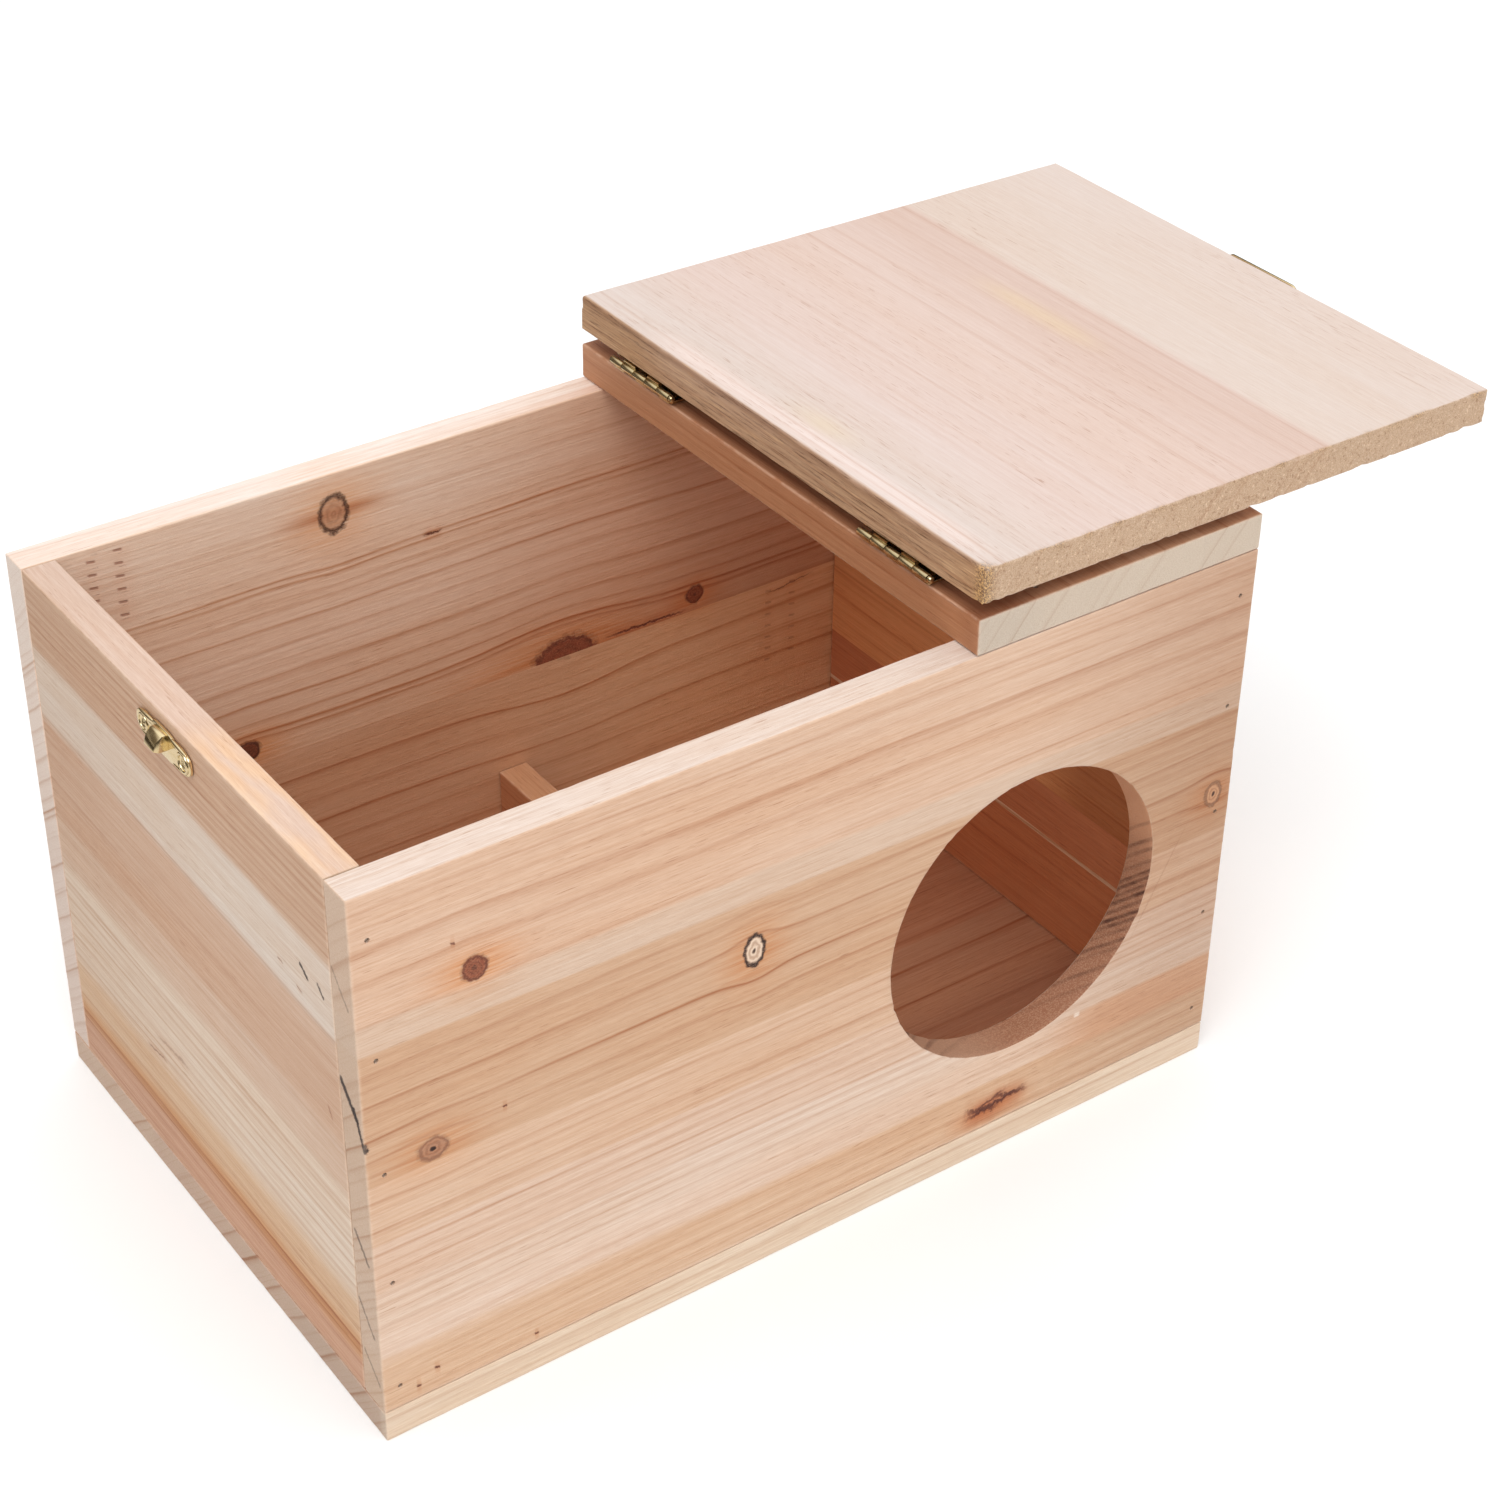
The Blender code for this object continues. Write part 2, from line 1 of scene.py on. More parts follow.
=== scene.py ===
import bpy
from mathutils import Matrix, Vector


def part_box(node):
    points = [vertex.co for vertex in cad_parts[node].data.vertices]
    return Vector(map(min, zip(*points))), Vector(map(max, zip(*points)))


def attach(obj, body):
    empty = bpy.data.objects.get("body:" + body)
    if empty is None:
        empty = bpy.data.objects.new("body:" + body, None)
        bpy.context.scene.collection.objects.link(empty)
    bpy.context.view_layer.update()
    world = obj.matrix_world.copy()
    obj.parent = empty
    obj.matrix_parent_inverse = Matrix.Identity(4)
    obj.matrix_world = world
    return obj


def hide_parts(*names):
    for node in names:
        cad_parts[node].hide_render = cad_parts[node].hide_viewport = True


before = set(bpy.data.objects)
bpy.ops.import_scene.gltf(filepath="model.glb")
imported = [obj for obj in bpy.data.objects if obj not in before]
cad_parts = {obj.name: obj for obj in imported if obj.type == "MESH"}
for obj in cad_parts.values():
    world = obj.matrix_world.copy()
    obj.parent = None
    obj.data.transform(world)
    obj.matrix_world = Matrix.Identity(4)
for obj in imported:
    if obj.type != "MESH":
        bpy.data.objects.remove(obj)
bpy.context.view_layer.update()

# A small nesting box of edge-glued softwood with a hinged lid, brass hinges
# and a brass latch, dressed over its CAD frame. Sizes are in millimetres
# where a name ends in _mm or a comment says so, and in metres elsewhere.

import math
from collections import namedtuple

import bmesh
import bpy
import numpy as np
from bpy.props import FloatProperty, FloatVectorProperty, IntProperty, PointerProperty
from mathutils import Matrix, Vector, noise

bl_info = {
    "name": "Nesting Box",
    "version": (1, 0, 0),
    "blender": (4, 5, 0),
    "location": "View3D > Sidebar > Nesting Box",
    "description": "Dresses the CAD frame of a small wooden nesting box",
    "category": "Object",
}

MM = 0.001
AXES = {"x": 0, "y": 1, "z": 2}


def shade(red, green, blue):
    """A display colour from 0 to 255 as the linear colour that materials take."""
    def linear(value):
        value /= 255
        return value / 12.92 if value <= 0.04045 else ((value + 0.055) / 1.055) ** 2.4

    return (linear(red), linear(green), linear(blue), 1.0)


def size(name, description, default_mm):
    """A length that a user can change."""
    return FloatProperty(name=name, description=description, default=default_mm * MM,
                         min=0.0, unit="LENGTH", precision=5)


def colour(name, description, default):
    """A colour that a user can change."""
    return FloatVectorProperty(name=name, description=description, default=default,
                               size=4, min=0.0, max=1.0, subtype="COLOR")


class NestBoxSizes(bpy.types.PropertyGroup):
    """Sizes of the small things that the CAD frame doesn't hold."""

    arris: size("Arris", "Rounding of the boards' sawn edges", 0.5)
    cell: size("Cell", "Spacing of the boards' surface grid", 3.0)
    hole_flare: size("Hole flare", "Broken edge of the entrance hole", 0.45)
    hole_radius: size("Hole radius", "Radius of the entrance hole", 49.5)
    brad_head: size("Brad head", "Radius of a brad's head", 0.6)
    brad_hole: size("Brad hole", "Radius of the crushed hole round a brad", 0.78)
    screw_head: size("Screw head", "Radius of a screw's head", 1.75)
    knuckle: size("Knuckle", "Radius of a hinge knuckle", 1.3)
    knuckle_gap: size("Knuckle gap", "Gap between hinge knuckles", 0.22)
    lid_tilt: FloatProperty(name="Lid tilt", description="How far the open lid leans down",
                            default=math.radians(0.5), subtype="ANGLE")
    finger_count: IntProperty(name="Fingers", description="Finger tips across a joint",
                              default=6, min=1)


class NestBoxColours(bpy.types.PropertyGroup):
    """Colours of the finishes."""

    late_wood: colour("Late wood", "Tint of the dark growth lines", (0.66, 0.42, 0.27, 1))
    knot_rim: colour("Knot rim", "Bark ring round a knot", shade(58, 32, 24))
    brass: colour("Brass", "Plated brass", (0.90, 0.74, 0.44, 1))
    brass_dark: colour("Brass tarnish", "Tarnish in the brass", (0.20, 0.15, 0.07, 1))
    steel: colour("Steel", "Brad heads", (0.40, 0.34, 0.29, 1))
    floor: colour("Floor", "Studio floor", (0.975, 0.985, 0.99, 1))


# ---------------------------------------------------------------- node graphs

class Graph:
    """Short calls for building a node tree."""

    def __init__(self, tree):
        self.tree = tree

    def put(self, socket, value):
        if isinstance(value, bpy.types.NodeSocket):
            self.tree.links.new(value, socket)
        else:
            socket.default_value = value

    def add(self, kind, inputs=(), **settings):
        node = self.tree.nodes.new(kind)
        for key, value in settings.items():
            setattr(node, key, value)
        for key, value in dict(inputs).items():
            self.put(node.inputs[key], value)
        return node

    def math(self, operation, *values, clamp=False):
        node = self.add("ShaderNodeMath", operation=operation, use_clamp=clamp)
        for socket, value in zip(node.inputs, values):
            self.put(socket, value)
        return node.outputs[0]

    def sum(self, *values):
        total = values[0]
        for value in values[1:]:
            total = self.math("ADD", total, value)
        return total

    def times(self, *values):
        total = values[0]
        for value in values[1:]:
            total = self.math("MULTIPLY", total, value)
        return total

    def vector(self, operation, first, second):
        node = self.add("ShaderNodeVectorMath", {0: first, 1: second}, operation=operation)
        return node.outputs[0]

    def split(self, vector):
        return self.add("ShaderNodeSeparateXYZ", {0: vector}).outputs

    def noise(self, vector, scales, seed=0.0, detail=2.0, roughness=0.5):
        """Noise from 0 to 1 that is stretched by its own scale along each axis."""
        place = self.vector("MULTIPLY", vector, scales)
        shift = self.add("ShaderNodeCombineXYZ", {0: seed, 1: self.times(seed, 1.7), 2: 3.1})
        place = self.vector("ADD", place, shift.outputs[0])
        node = self.add("ShaderNodeTexNoise", {"Vector": place, "Scale": 1.0, "Detail": detail,
                                               "Roughness": roughness})
        return node.outputs["Fac"]

    def wobble(self, *given):
        """The same noise, from -0.5 to 0.5."""
        return self.math("SUBTRACT", self.noise(*given), 0.5)

    def step(self, value, low, high):
        """A smooth rise from 0 at low to 1 at high."""
        node = self.add("ShaderNodeMapRange", interpolation_type="SMOOTHSTEP")
        for key, number in (("Value", value), ("From Min", low), ("From Max", high)):
            self.put(node.inputs[key], number)
        return node.outputs[0]

    def rescale(self, value, low, high, to_low=0.0, to_high=1.0):
        node = self.add("ShaderNodeMapRange", {"Value": value, "From Min": low, "From Max": high,
                                               "To Min": to_low, "To Max": to_high})
        return node.outputs[0]

    def mix(self, factor, first, second, blend="MIX"):
        node = self.add("ShaderNodeMix", data_type="RGBA", blend_type=blend)
        self.put(node.inputs[0], factor)
        self.put(node.inputs[6], first)
        self.put(node.inputs[7], second)
        return node.outputs[2]

    def ramp(self, factor, stops, mode="LINEAR"):
        node = self.add("ShaderNodeValToRGB", {"Fac": factor})
        ramp = node.color_ramp
        ramp.interpolation = mode
        stops = sorted(stops, key=lambda stop: stop[0])
        ramp.elements[0].position, ramp.elements[0].color = stops[0]
        ramp.elements.remove(ramp.elements[1])
        for place, value in stops[1:]:
            ramp.elements.new(min(max(place, 0.0), 1.0)).color = value
        return node.outputs["Color"]

    def group(self, tree, inputs):
        node = self.add("ShaderNodeGroup", node_tree=tree)
        for key, value in inputs.items():
            self.put(node.inputs[key], value)
        return node.outputs


def shader_group(name, inputs, outputs):
    """An empty shader group with named sockets, and the graph that fills it."""
    tree = bpy.data.node_groups.new(name, "ShaderNodeTree")
    for label, kind, default in inputs:
        socket = tree.interface.new_socket(label, in_out="INPUT", socket_type="NodeSocket" + kind)
        socket.default_value = default
    for label in outputs:
        tree.interface.new_socket(label, in_out="OUTPUT", socket_type="NodeSocketFloat")
    graph = Graph(tree)
    graph.given = tree.nodes.new("NodeGroupInput").outputs
    graph.made = tree.nodes.new("NodeGroupOutput").inputs
    return graph


def grain_level_group():
    """Which growth ring a place lies in: its height across the board, bent by the tree's waviness."""
    graph = shader_group("Grain Level", [("Place", "Vector", (0, 0, 0)), ("Slope", "Float", 0.3),
                                         ("Waviness", "Float", 3.0), ("Seed", "Float", 0.0)], ["Level"])
    place, seed, wave = graph.given["Place"], graph.given["Seed"], graph.given["Waviness"]
    parts = graph.split(place)
    broad = graph.wobble(place, (0.006, 0.02, 0.02), seed)
    close = graph.wobble(place, (0.035, 0.11, 0.11), seed)
    lean = graph.times(parts["Z"], graph.given["Slope"])
    level = graph.sum(parts["Y"], lean, graph.times(broad, wave, 2.0), graph.times(close, wave, 0.3))
    graph.put(graph.made["Level"], level)
    return graph.tree


def growth_rings_group():
    """Dark late wood that builds up through each growth ring and stops at its edge."""
    graph = shader_group("Growth Rings", [("Level", "Float", 0.0), ("Spacing", "Float", 4.0),
                                          ("Irregular", "Float", 0.6), ("Seed", "Float", 0.0)], ["Late"])
    turns = graph.math("DIVIDE", graph.given["Level"], graph.given["Spacing"])
    drift = graph.add("ShaderNodeTexNoise", {"W": graph.sum(graph.times(turns, 0.37), graph.given["Seed"]),
                                             "Scale": 1.0, "Detail": 2.0}, noise_dimensions="1D")
    turns = graph.sum(turns, graph.times(drift.outputs[0], graph.given["Irregular"], 4.0))
    through = graph.math("FRACT", turns)
    ring = graph.add("ShaderNodeTexWhiteNoise", {"W": graph.math("FLOOR", turns)}, noise_dimensions="1D")
    depth = graph.rescale(ring.outputs["Value"], 0.0, 1.0, 0.25, 1.0)
    rise = graph.math("POWER", through, 7.0)
    drop = graph.step(through, 1.0, 0.93)
    graph.put(graph.made["Late"], graph.times(rise, drop, depth, 1.8))
    return graph.tree


def knot_group():
    """A knot: how it bends the rings round it, its heart, its bark rim and the stain round it."""
    graph = shader_group("Knot", [("Place", "Vector", (0, 0, 0)), ("Along", "Float", 0.0),
                                  ("Across", "Float", 0.0), ("Half Length", "Float", 4.0),
                                  ("Half Width", "Float", 4.0), ("Push", "Float", 3.0)],
                         ["Bend", "Heart", "Rim", "Stain", "Reach"])
    given = graph.given
    parts = graph.split(given["Place"])
    ragged = graph.wobble(given["Place"], (0.5, 0.5, 0.5), 4.0, 3.0)
    along = graph.math("DIVIDE", graph.math("SUBTRACT", parts["X"], given["Along"]), given["Half Length"])
    across = graph.math("DIVIDE", graph.math("SUBTRACT", parts["Y"], given["Across"]), given["Half Width"])
    reach = graph.math("SQRT", graph.sum(graph.times(along, along), graph.times(across, across)))
    edge = graph.sum(reach, graph.times(ragged, 0.5))
    graph.put(graph.made["Reach"], edge)
    graph.put(graph.made["Heart"], graph.step(edge, 1.05, 0.92))
    rim = graph.times(graph.step(edge, 0.72, 0.94), graph.step(edge, 1.22, 1.0))
    graph.put(graph.made["Rim"], rim)
    long = graph.times(along, 0.45)
    far = graph.sum(graph.times(long, long), graph.times(across, across, 0.5))
    graph.put(graph.made["Stain"], graph.math("EXPONENT", graph.times(far, -0.55)))
    side = graph.math("DIVIDE", across, graph.math("SQRT", graph.sum(graph.times(across, across), 0.35)))
    fade = graph.math("EXPONENT", graph.math("SUBTRACT", graph.times(along, along, -0.16),
                                             graph.times(graph.math("ABSOLUTE", across), 0.35)))
    graph.put(graph.made["Bend"], graph.times(side, fade, given["Push"], -1.0))
    return graph.tree


def fibre_group():
    """Fine fibres along the grain, which show as dots where the board is cut across."""
    graph = shader_group("Fibre", [("Place", "Vector", (0, 0, 0)), ("Seed", "Float", 0.0)],
                         ["Streak", "Hair", "Dots", "Tone", "Pores"])
    place, seed = graph.given["Place"], graph.given["Seed"]
    graph.put(graph.made["Streak"], graph.noise(place, (0.02, 1.15, 1.15), seed, 5.0, 0.7))
    graph.put(graph.made["Hair"], graph.noise(place, (0.14, 4.6, 4.6), seed, 3.0, 0.65))
    pores = graph.noise(place, (0.12, 2.8, 2.8), seed, 2.0, 0.5)
    graph.put(graph.made["Pores"], graph.step(pores, 0.63, 0.70))
    graph.put(graph.made["Dots"], graph.noise(place, (1.6, 2.4, 2.4), seed, 3.0, 0.7))
    graph.put(graph.made["Tone"], graph.noise(place, (0.007, 0.045, 0.045), seed, 3.0, 0.55))
    return graph.tree


def worn_lit_edge_group():
    """Where an arris is laid pale, partly as wear from handling and partly as a painted highlight, broken up so that it
    isn't even.
    """
    graph = shader_group("Rubbed Edge", [("Place", "Vector", (0, 0, 0)), ("Near Edge", "Float", 0.0)], ["Rub"])
    worn = graph.noise(graph.given["Place"], (0.22, 0.22, 0.22), 9.0, 4.0, 0.6)
    graph.put(graph.made["Rub"], graph.times(graph.given["Near Edge"], graph.step(worn, 0.30, 0.62)))
    return graph.tree


def metal_wear_group():
    """Tarnish, fine scratches and dull patches on plated metal."""
    graph = shader_group("Metal Wear", [("Place", "Vector", (0, 0, 0)), ("Seed", "Float", 0.0)],
                         ["Tarnish", "Scratch", "Dull"])
    place, seed = graph.given["Place"], graph.given["Seed"]
    graph.put(graph.made["Tarnish"], graph.step(graph.noise(place, (0.22, 0.22, 0.22), seed, 4.0, 0.6), 0.58, 0.85))
    graph.put(graph.made["Scratch"], graph.step(graph.noise(place, (6.0, 0.6, 6.0), seed, 3.0), 0.55, 0.75))
    graph.put(graph.made["Dull"], graph.noise(place, (0.9, 0.9, 0.9), seed, 3.0))
    return graph.tree


SHARED = {"level": grain_level_group, "rings": growth_rings_group, "knot": knot_group,
          "fibre": fibre_group, "worn_lit_edge": worn_lit_edge_group, "metal": metal_wear_group}


def shared(key):
    """A shared group, built the first time it is asked for."""
    maker = SHARED[key]
    if callable(maker):
        SHARED[key] = maker()
    return SHARED[key]


def fresh_material(name, roughness, metallic=0.0, kind=Graph):
    """A new material with its constants on the shader itself, and the graph that fills it."""
    material = bpy.data.materials.new(name)
    material.use_nodes = True
    graph = kind(material.node_tree)
    graph.shader = material.node_tree.nodes["Principled BSDF"]
    graph.put(graph.shader.inputs["Roughness"], roughness)
    graph.put(graph.shader.inputs["Metallic"], metallic)
    graph.coords = graph.add("ShaderNodeTexCoord").outputs["Object"]
    return material, graph


def bump(graph, height, distance_mm):
    node = graph.add("ShaderNodeBump", {"Height": height, "Distance": distance_mm * MM, "Strength": 1.0})
    graph.put(graph.shader.inputs["Normal"], node.outputs[0])


# ------------------------------------------------------------------- the wood

def board_place(graph, axes):
    """The place in a board's own directions, in millimetres: along the grain, across it and into it."""
    parts = graph.split(graph.vector("MULTIPLY", graph.coords, (1000.0, 1000.0, 1000.0)))
    turned = [graph.math("MULTIPLY_ADD", parts[AXES[name]], sign, -sign * start) for name, sign, start in axes]
    return graph.add("ShaderNodeCombineXYZ", dict(enumerate(turned))).outputs[0]


BLACK, WHITE = (0, 0, 0, 1), (1, 1, 1, 1)
MARKS_PER_RAMP = 6
MARK_CORE, BORE_CORE = 0.14, 0.5

# What a board's look says where its own table is silent.
PLAIN_LOOK = {
    "tilt": 0.0, "line_gain": 1.55, "strip_wander": 1.0, "warmth": 0.6, "streaks": 0.55, "hairs": 0.5,
    "end_tint": 0.75, "end_rings": 1.4, "end_dots": 0.45, "end_colour": (214, 190, 166),
    # The top colour is painted light on the faces that face up, and the edge rub is partly wear and partly a painted
    # highlight.
    "top_light_colour": (250, 236, 226), "worn_lit_edge": 0.3, "relief": 0.12, "joints": (), "patches": (), "inner": (),
    "swirl": (), "light_fades": (), "knots": (), "cracks": (), "combs": (), "bored": (), "scars": (), "torn": False,
}


class Wood(Graph):
    """Edge-glued softwood after a look, with its tint and its relief as far as they are drawn."""

    def start(self, look):
        """Finds each place's growth ring, late wood and fibres."""
        self.look = look = {**PLAIN_LOOK, **look}
        self.seed = float(look["seed"])
        self.low, self.high = look["span"]
        self.place = board_place(self, look["axes"])
        self.along, self.across, self.depth = self.split(self.place)
        self.straight = self.sum(self.across, self.times(self.along, look["tilt"]))
        self.level = self.group(shared("level"), {"Place": self.place, "Slope": look["slope"],
                                                  "Waviness": look["waviness"], "Seed": self.seed})["Level"]
        self.knots = []
        for along, across, half_length, half_width, push, kind in look["knots"]:
            knot = self.group(shared("knot"), {"Place": self.place, "Along": along, "Across": across,
                                               "Half Length": half_length, "Half Width": half_width,
                                               "Push": push})
            self.level = self.sum(self.level, knot["Bend"])
            self.knots.append((knot, kind))
        self.fibre = self.group(shared("fibre"), {"Place": self.place, "Seed": self.seed})
        late = self.group(shared("rings"), {"Level": self.level, "Spacing": look["spacing"],
                                            "Irregular": 0.6, "Seed": self.seed})["Late"]
        late = self.times(late, look["rings"], self.rescale(self.fibre["Tone"], 0.3, 0.7, 0.35, 1.0))
        drawn = self.add("ShaderNodeCombineXYZ", {0: self.along, 1: self.times(self.level, 8.0), 2: 0.0})
        fade = self.noise(drawn.outputs[0], (0.012, 0.06, 1.0), self.seed + 5, 2.0)
        marks = self.times(self.line_marks(look["lines"]), self.rescale(fade, 0.3, 0.6, 0.45, 1.1),
                           look["line_gain"])
        self.late = self.math("MAXIMUM", late, marks)

    def paint(self, colour, *amounts):
        """Lays a display colour over the tint, by the product of the amounts."""
        self.tint = self.mix(self.times(*amounts), self.tint, shade(*colour))

    def stain(self, colour, *amounts):
        """Multiplies the tint by a colour, by the product of the amounts."""
        self.tint = self.mix(self.times(*amounts), self.tint, (*colour[:3], 1), "MULTIPLY")

    def raised(self, *amounts):
        """Adds the product of the amounts to the relief."""
        self.height = self.sum(self.height, self.times(*amounts))

    def share(self, height):
        """A height across the board as a share of the board's span."""
        return (height - self.low) / (self.high - self.low)

    def within(self, value, start, end, soft):
        """1 between start and end, with soft ends."""
        return self.times(self.step(value, start - soft, start + soft), self.step(value, end + soft, end - soft))

    def away(self, value, centre):
        return self.math("ABSOLUTE", self.sum(value, -centre))

    def stored(self, name):
        """A number that is stored on the mesh."""
        return self.add("ShaderNodeAttribute", attribute_name=name).outputs["Fac"]

    def line_marks(self, rows, core=MARK_CORE):
        """The board's strongest growth lines; rows hold (height, strength, width) in millimetres."""
        total = 0.0
        place = self.rescale(self.level, self.low, self.high)
        rows = sorted(rows)
        count = -(-len(rows) // MARKS_PER_RAMP)
        for part in (rows[start::count] for start in range(count)):
            stops = [(0.0, BLACK)]
            for height, strength, width in part:
                for offset, shown in ((0.14 - core - 1.5 * width, 0.0), (-core - 0.26, 0.45), (-core, 1.0),
                                      (core, 1.0), (core + 0.2, 0.0)):
                    stops.append((self.share(height + offset), (strength * shown,) * 3 + (1,)))
            total = self.math("MAXIMUM", total, self.ramp(place, stops))
        return total

    def strips(self):
        """The glued strips' colours, and the places and faces that differ from them."""
        look = self.look
        strips = look["strips"]
        stops = [(0.0, shade(*strips[0][1]))]
        for before, (height, tint, *soft) in zip(strips, strips[1:]):
            half = (soft[0] if soft else 0.3) / 2
            stops += [(self.share(height - half), shade(*before[1])), (self.share(height + half), shade(*tint))]
        wander = self.wobble(self.place, (0.01, 0.0, 0.0), self.seed + 2)
        place = self.rescale(self.sum(self.straight, self.times(wander, look["strip_wander"])), self.low, self.high)
        self.tint = self.ramp(place, stops)
        for (width, height), patch, *given in look["patches"]:
            soft = given[0] if given else (0.5, 0.5)
            self.paint(patch, self.within(self.along, *width, soft[0]), self.within(self.across, *height, soft[1]))
        if look["inner"]:
            stops = [(self.share(height), shade(*paint)) for height, paint in look["inner"]]
            self.tint = self.mix(self.step(self.depth, 4, 9), self.tint, self.ramp(place, stops, "CONSTANT"))
        # Painted light: faces that face up are laid paler, as light falls on them from above.
        sawn = self.stored("upward_face")
        self.paint(look["top_light_colour"], sawn, 0.75)
        if look["swirl"]:
            start, end, paint = look["swirl"]
            swirl = self.step(self.noise(self.place, (0.03, 0.1, 0.16), self.seed + 3, 2.0), 0.34, 0.62)
            self.paint(paint, swirl, sawn, self.within(self.along, start, end, 9))

    def grain(self):
        """Broad warm places, painted light and shade, late wood, fibres and the glue lines, and their relief."""
        look, fibre = self.look, self.fibre
        self.stain((0.95, 0.82, 0.69), self.rescale(fibre["Tone"], 0.3, 0.7), look["warmth"])
        # Painted light and shade: each entry lays a stretch of the board darker or lighter.
        for start, stop, light_tint, bottom, top, depth in look["light_fades"]:
            self.stain(light_tint, self.within(self.across, bottom - 0.15, top + 0.15, 0.15),
                       self.step(self.depth, depth - 1, depth + 1), self.step(self.along, start, stop))
        self.stain(bpy.context.scene.nest_box_colours.late_wood, self.late)
        self.streak = self.rescale(fibre["Streak"], 0.38, 0.68)
        self.stain((0.80, 0.66, 0.55), self.streak, look["streaks"])
        hair = self.rescale(fibre["Hair"], 0.42, 0.72)
        self.stain((0.76, 0.64, 0.55), hair, look["hairs"])
        self.stain((0.66, 0.50, 0.40), fibre["Pores"], self.step(fibre["Tone"], 0.42, 0.58), 0.7)
        if look["joints"]:
            stops = [(0.0, BLACK)]
            for height in look["joints"]:
                stops += [(self.share(height - 0.175), BLACK), (self.share(height), WHITE),
                          (self.share(height + 0.175), BLACK)]
            glue = self.ramp(self.rescale(self.straight, self.low, self.high), stops)
            self.stain((0.60, 0.42, 0.30), glue, 0.55)
        self.height = self.sum(self.times(self.late, 0.5), self.times(self.streak, 0.4), self.times(hair, 0.25))

    def draw_knots(self):
        """Each knot's stain, ringed heart, pith and broken bark."""
        fibre = self.fibre
        rim_colour = bpy.context.scene.nest_box_colours.knot_rim
        for knot, kind in self.knots:
            stain, heart, rim, reach = knot["Stain"], knot["Heart"], knot["Rim"], knot["Reach"]
            if kind.above is not None:
                whole = self.step(self.across, kind.above - 0.2, kind.above + 0.2)
                stain, heart, rim = (self.times(mask, whole) for mask in (stain, heart, rim))
            self.stain((0.97, 0.64, 0.36), stain, kind.stain, self.rescale(fibre["Streak"], 0.35, 0.62, 0.45, 1.15))
            rings = self.math("SINE", self.times(reach, 17.0))
            core = self.mix(self.rescale(rings, -1.0, 1.0, 0.0, 0.6), shade(*kind.heart),
                            (0.4, 0.25, 0.18, 1), "MULTIPLY")
            core = self.mix(self.times(self.step(fibre["Dots"], 0.42, 0.62), kind.mottle), core,
                            shade(178, 112, 78))
            self.tint = self.mix(self.times(heart, kind.cover), self.tint, core)
            self.tint = self.mix(self.times(self.step(reach, 0.26, 0.08), kind.pith), self.tint, rim_colour)
            broken = self.rescale(fibre["Dots"], 0.3, 0.6, 0.55, 1.0)
            self.tint = self.mix(self.times(rim, kind.rim, broken), self.tint, rim_colour)
            self.raised(rim, -1.5)
            self.raised(heart, 0.5)

    def draw_cracks(self):
        """Short cracks and resin marks along the grain."""
        for along, across, length, width, lean, strength in self.look["cracks"]:
            run = self.sum(self.along, -along)
            jag = self.times(self.wobble(self.place, (0.35, 0.2, 0.35), self.seed + across, 4.0, 0.7), width * 5.0)
            off = self.math("ABSOLUTE", self.sum(self.across, -across, self.times(run, lean), jag))
            ends = self.step(self.math("ABSOLUTE", run), length * 0.5, length * 0.2)
            crack = self.times(self.step(off, width, width * 0.25), ends, strength)
            self.stain((0.80, 0.50, 0.32), self.step(off, width * 6.0, 0.0), ends, 0.5 * strength)
            self.paint((108, 54, 36), crack)
            self.raised(crack, -2.0)

    def draw_combs(self):
        """Rows of small dark finger tips across a jointed strip."""
        for along, bottom, top, pitch, half, strength in self.look["combs"]:
            turn = self.math("DIVIDE", self.sum(self.across, self.times(self.along, 0.12), -bottom), pitch)
            tip = self.step(self.away(self.math("FRACT", turn), 0.5), 0.13, 0.06)
            span = self.within(self.across, bottom + 0.15, top - 0.15, 0.15)
            near = self.away(self.along, along)
            tip = self.times(tip, span, self.step(near, half, half * 0.5), strength)
            self.stain((0.86, 0.64, 0.52), span, self.step(near, half * 3.5, 0.0), 0.35 * strength)
            self.paint((146, 84, 62), tip)
            self.raised(tip, -2.0)

    def end_grain(self):
        """Dots and rings where the board is cut across."""
        look = self.look
        self.end, self.dots = self.stored("end_grain"), self.rescale(self.fibre["Dots"], 0.35, 0.7)
        late_wood = bpy.context.scene.nest_box_colours.late_wood
        ringed = self.mix(self.times(self.late, look["end_rings"]), shade(*look["end_colour"]), late_wood, "MULTIPLY")
        self.tint = self.mix(self.times(self.end, look["end_tint"]), self.tint, ringed)
        self.stain((0.70, 0.56, 0.44), self.end, self.dots, look["end_dots"])

    def bore(self):
        """The raw wall of the entrance hole, with its rings cut across in dark bands."""
        if not self.look["bored"]:
            return
        bands = self.line_marks(self.look["bored"], BORE_CORE)
        patchy = self.noise(self.place, (0.1, 0.25, 0.04), 8.0, 2.0)
        bands = self.times(bands, self.rescale(patchy, 0.35, 0.6, 0.55, 1.0))
        outer, self.tint = self.tint, self.mix(self.step(self.along, 78, 50), shade(158, 106, 78),
                                               shade(180, 138, 112))
        self.paint((208, 152, 116), self.step(self.across, 78, 104))
        self.paint((78, 40, 26), bands, self.rescale(self.end, 0.15, 0.8, 0.6, 1.0))
        self.paint((206, 164, 132), self.step(self.fibre["Dots"], 0.45, 0.6), self.sum(0.42, self.times(bands, -0.34)))
        self.tint = self.mix(self.stored("bored"), outer, self.tint)

